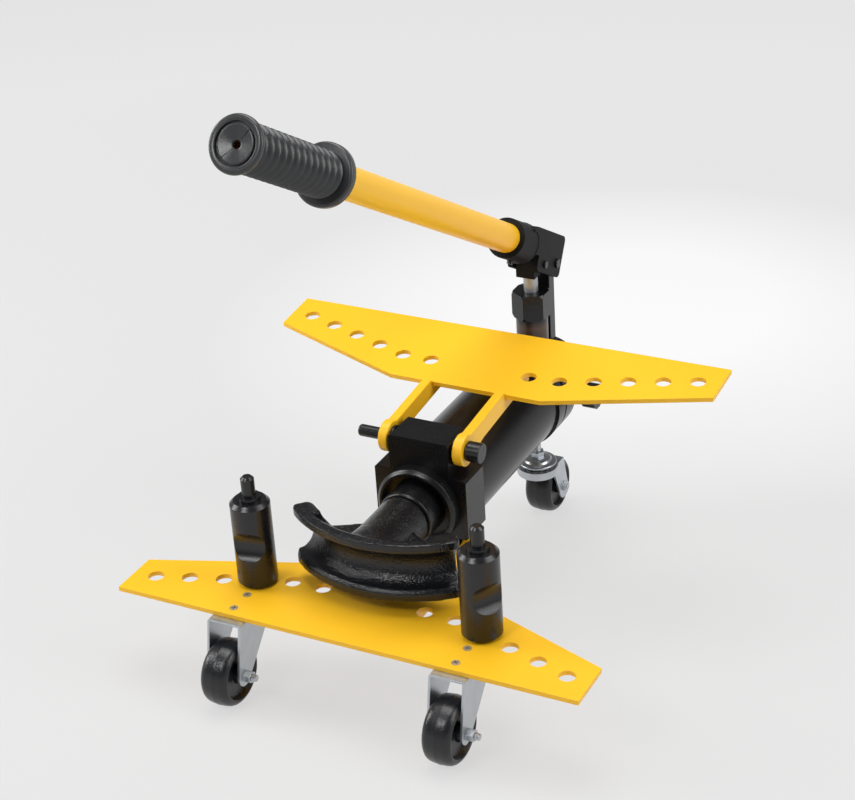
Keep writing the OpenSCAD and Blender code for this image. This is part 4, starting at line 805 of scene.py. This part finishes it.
wheel_nylon = finish_material(
    "wheel_nylon", (0.007, 0.0075, 0.0095), drift=0.35, drift_scale=30, grain_scale=500, grain=0.7,
    roughness=0.3, spread=0.2)
across = Matrix.Rotation(pi / 2, 4, "Y")


def rounded_bends(mesh, picked, width, segments):
    flat = level.inverted()
    chosen = [e for e in mesh.edges if all(picked(flat @ v.co) for v in e.verts)]
    bmesh.ops.bevel(mesh, geom=chosen, offset=width * MM, offset_type="OFFSET", segments=segments,
                    profile=0.5, affect="EDGES", clamp_overlap=True, material=-1)
    bmesh.ops.remove_doubles(mesh, verts=mesh.verts, dist=BEND_MERGE)


def at_bracket_bend(p):
    from_middle = abs(abs(p.x) - CASTOR_X)
    return abs(p.z - BRACKET_TOP) < BEND_NEAR and abs(from_middle - BRACKET_HALF) < BEND_NEAR


def moulded_wheel(place, diameter, width, hub):
    rim = diameter / 2
    face = width / 2
    side = [(r, hub / 2 - drop) for r, drop in HUB_SIDE]
    side += [(r, face - drop) for r, drop in WEB_SIDE]
    side += [(rim - inward, face - drop) for inward, drop in TYRE_SIDE]
    side += [(rim - inward, x) for inward, x in TREAD_LINE]
    return spun(side + [(r, -x) for r, x in reversed(side)], level @ place @ across, WHEEL_STEPS)


def threads(place, radius, pitch, start, end):
    turns = int((end - start) / pitch)
    crests = []
    for i in range(turns):
        crests += [(radius - THREAD_DEEP, start + i * pitch), (radius, start + (i + 0.5) * pitch)]
    last = start + turns * pitch
    crests += [(radius - THREAD_DEEP, last), (radius - THREAD_WALL, last), (radius - THREAD_WALL, start)]
    return spun(crests, level @ place, THREAD_STEPS)


for side, name in ((-1, "left"), (1, "right")):
    axle = Matrix.Translation((side * CASTOR_X, *FRONT_AXLE))
    mesh = joined_node(name + "_bracket")
    rounded_bends(mesh, at_bracket_bend, BEND_R, segments=5)
    softened_edges(mesh, 0.7)
    finished_piece(name + "_bracket_dressed", mesh, bright_zinc, "zinc", "frame", name + "_bracket")
    wheel = moulded_wheel(axle, **FRONT_WHEEL)
    finished_piece(name + "_wheel_dressed", wheel, wheel_nylon, "wheel_plastic", name + "_roller",
                   name + "_wheel")
    dressed(name + "_axle", bright_zinc, "zinc", 0.5)
    thread = threads(axle @ across, **AXLE_THREAD)
    finished_piece(name + "_axle_thread", thread, bright_zinc, "zinc", "frame")
for part in ("axle_nuts", "castor_nuts"):
    dressed(part, bright_zinc, "zinc", 0.5)

# Castor screws: countersunk steel screws with a cross recess and dull zinc plating, let into the top
# of the lower wing and held by nuts under the brackets.
SCREW_Y = (14, 44)
SCREW_TURNS = (0.3, 1.1, 0.7, 1.3)
SCREW_R = 5.3
SCREW_H = 0.25
SCREW_DOME = 0.2
SCREW_RIM = 0.2
SCREW_SINK = 2.5
SCREW_CELLS = 7
RECESS = 2.2
RECESS_HALF = (0.4, 2.4)
SHANK_R = 3
SHANK_LONG = 17


def cross_screw(place):
    mesh = bmesh.new()
    bmesh.ops.create_grid(mesh, x_segments=SCREW_CELLS, y_segments=SCREW_CELLS, size=SCREW_R)
    cell = 2 * SCREW_R / SCREW_CELLS
    for vert in mesh.verts:
        square = max(abs(vert.co.x), abs(vert.co.y))
        if square > 2 * cell:
            vert.co *= square / vert.co.length
        vert.co.z = SCREW_H - SCREW_DOME * (vert.co.to_2d().length / SCREW_R) ** 2
    cross = []
    for face in mesh.faces:
        middle = face.calc_center_median()
        beside, along = sorted((abs(middle.x), abs(middle.y)))
        if beside < RECESS_HALF[0] * cell and along < RECESS_HALF[1] * cell:
            cross.append(face)
    sunk_faces(mesh, cross, RECESS)
    for z, r in ((-SCREW_RIM, SCREW_R), (-SCREW_SINK, SHANK_R), (-SHANK_LONG, SHANK_R)):
        rim = [e for e in mesh.edges if len(e.link_faces) == 1]
        let_down = bmesh.ops.extrude_edge_only(mesh, edges=rim)
        for part in let_down["geom"]:
            if isinstance(part, bmesh.types.BMVert):
                part.co.xy *= r / part.co.to_2d().length
                part.co.z = z
    bmesh.ops.holes_fill(mesh, edges=mesh.edges, sides=0)
    bmesh.ops.recalc_face_normals(mesh, faces=mesh.faces)
    bmesh.ops.transform(mesh, matrix=level @ place, verts=mesh.verts)
    return mesh


spots = [(side * CASTOR_X, y, 0) for side in (-1, 1) for y in SCREW_Y]
screws = [cross_screw(Matrix.Translation(spot) @ Matrix.Rotation(turn, 4, "Z"))
          for spot, turn in zip(spots, SCREW_TURNS)]
dull_zinc = finish_material(
    "dull_zinc", (0.4, 0.32, 0.2), drift=0.4, drift_scale=60, grain_scale=900, grain=0.1,
    roughness=0.42, spread=0.2, metallic=0.3)
finished_piece("castor_screws_dressed", gathered(screws), dull_zinc, "zinc", "frame", "castor_screws")

# Rear castor: threaded stem, pressed cap over a ball race, pressed fork with a round crown, and
# a moulded wheel on a through bolt.
STEM_Y = 556
CAP_FOOT = -62
CROWN_Z = -66.2
LEG_LOW = -120
LEG_REAR = (601, 587)
CROWN_R = 23.5
CROWN_BEND = 2.4
REAR_AXLE = (0, 586, -111.5)
REAR_WHEEL = {"diameter": 78, "width": 38, "hub": 43.2}
STEM_THREAD = {"radius": 5.3, "pitch": 1.5, "start": -45, "end": -14}
CAP_SIDE = ((5.1, 0), (16, 0), (16, 1.2), (22, 1.2), (22, 0), (25.2, 0), (25.8, 0.5), (26, 1.4),
            (25.8, 2.3), (25, 3), (23.6, 3.4), (20.5, 3.7), (19.2, 4.4), (18.2, 6.2), (17.2, 7.2),
            (15.4, 7.7), (13.4, 8.2), (12.4, 8.8), (11.6, 9), (5.1, 9))
CAP_STEPS = 72
stem = Matrix.Translation((0, STEM_Y, 0))
for part in ("rear_stem", "cap_nut", "stem_nut", "rear_axle", "rear_axle_nut"):
    dressed(part, bright_zinc, "zinc", 0.5)
finished_piece("rear_stem_thread", threads(stem, **STEM_THREAD), bright_zinc, "zinc", "frame")
cap = spun(CAP_SIDE, level @ stem @ Matrix.Translation((0, 0, CAP_FOOT)), CAP_STEPS)
finished_piece("rear_cap_dressed", cap, bright_zinc, "zinc", "frame", "rear_cap")


def at_crown_edge(p):
    return abs(p.z - CROWN_Z) < BEND_NEAR and Vector((p.x, p.y - STEM_Y)).length > CROWN_R


mesh = joined_node("rear_fork")
leg_edge = (tilt @ Vector((0, LEG_REAR[1] - LEG_REAR[0], CROWN_Z - LEG_LOW))).normalized()
cut_closed(mesh, level @ Vector((0, LEG_REAR[0], LEG_LOW)), leg_edge.cross(Vector((1, 0, 0))))
rounded_bends(mesh, at_crown_edge, CROWN_BEND, segments=4)
softened_edges(mesh, 0.6)
finished_piece("rear_fork_dressed", mesh, bright_zinc, "zinc", "swivel_fork", "rear_fork")
wheel = moulded_wheel(Matrix.Translation(REAR_AXLE), **REAR_WHEEL)
finished_piece("rear_wheel_dressed", wheel, wheel_nylon, "wheel_plastic", "rear_roller", "rear_wheel")

# Pieces inside the cylinder, the pump and the ball race: turned steel and rubber seals, seen only
# when the bender is taken apart.
seal_rubber = finish_material(
    "seal_rubber", (0.03, 0.06, 0.1), drift=0.2, drift_scale=40, grain_scale=1500, grain=0.1,
    roughness=0.45, spread=0.1)
inner_finish = {
    "rod_seal": seal_rubber, "piston_seal": seal_rubber, "plunger_packing": seal_rubber,
    "pressure_tube": turned_steel, "piston": turned_steel, "return_spring": turned_steel,
    "front_spring_anchor": turned_steel, "rear_spring_anchor": turned_steel,
    "check_balls": turned_steel, "race_balls": turned_steel,
}
for node, material in inner_finish.items():
    frame["nodes"][node].data.materials.clear()
    frame["nodes"][node].data.materials.append(material)
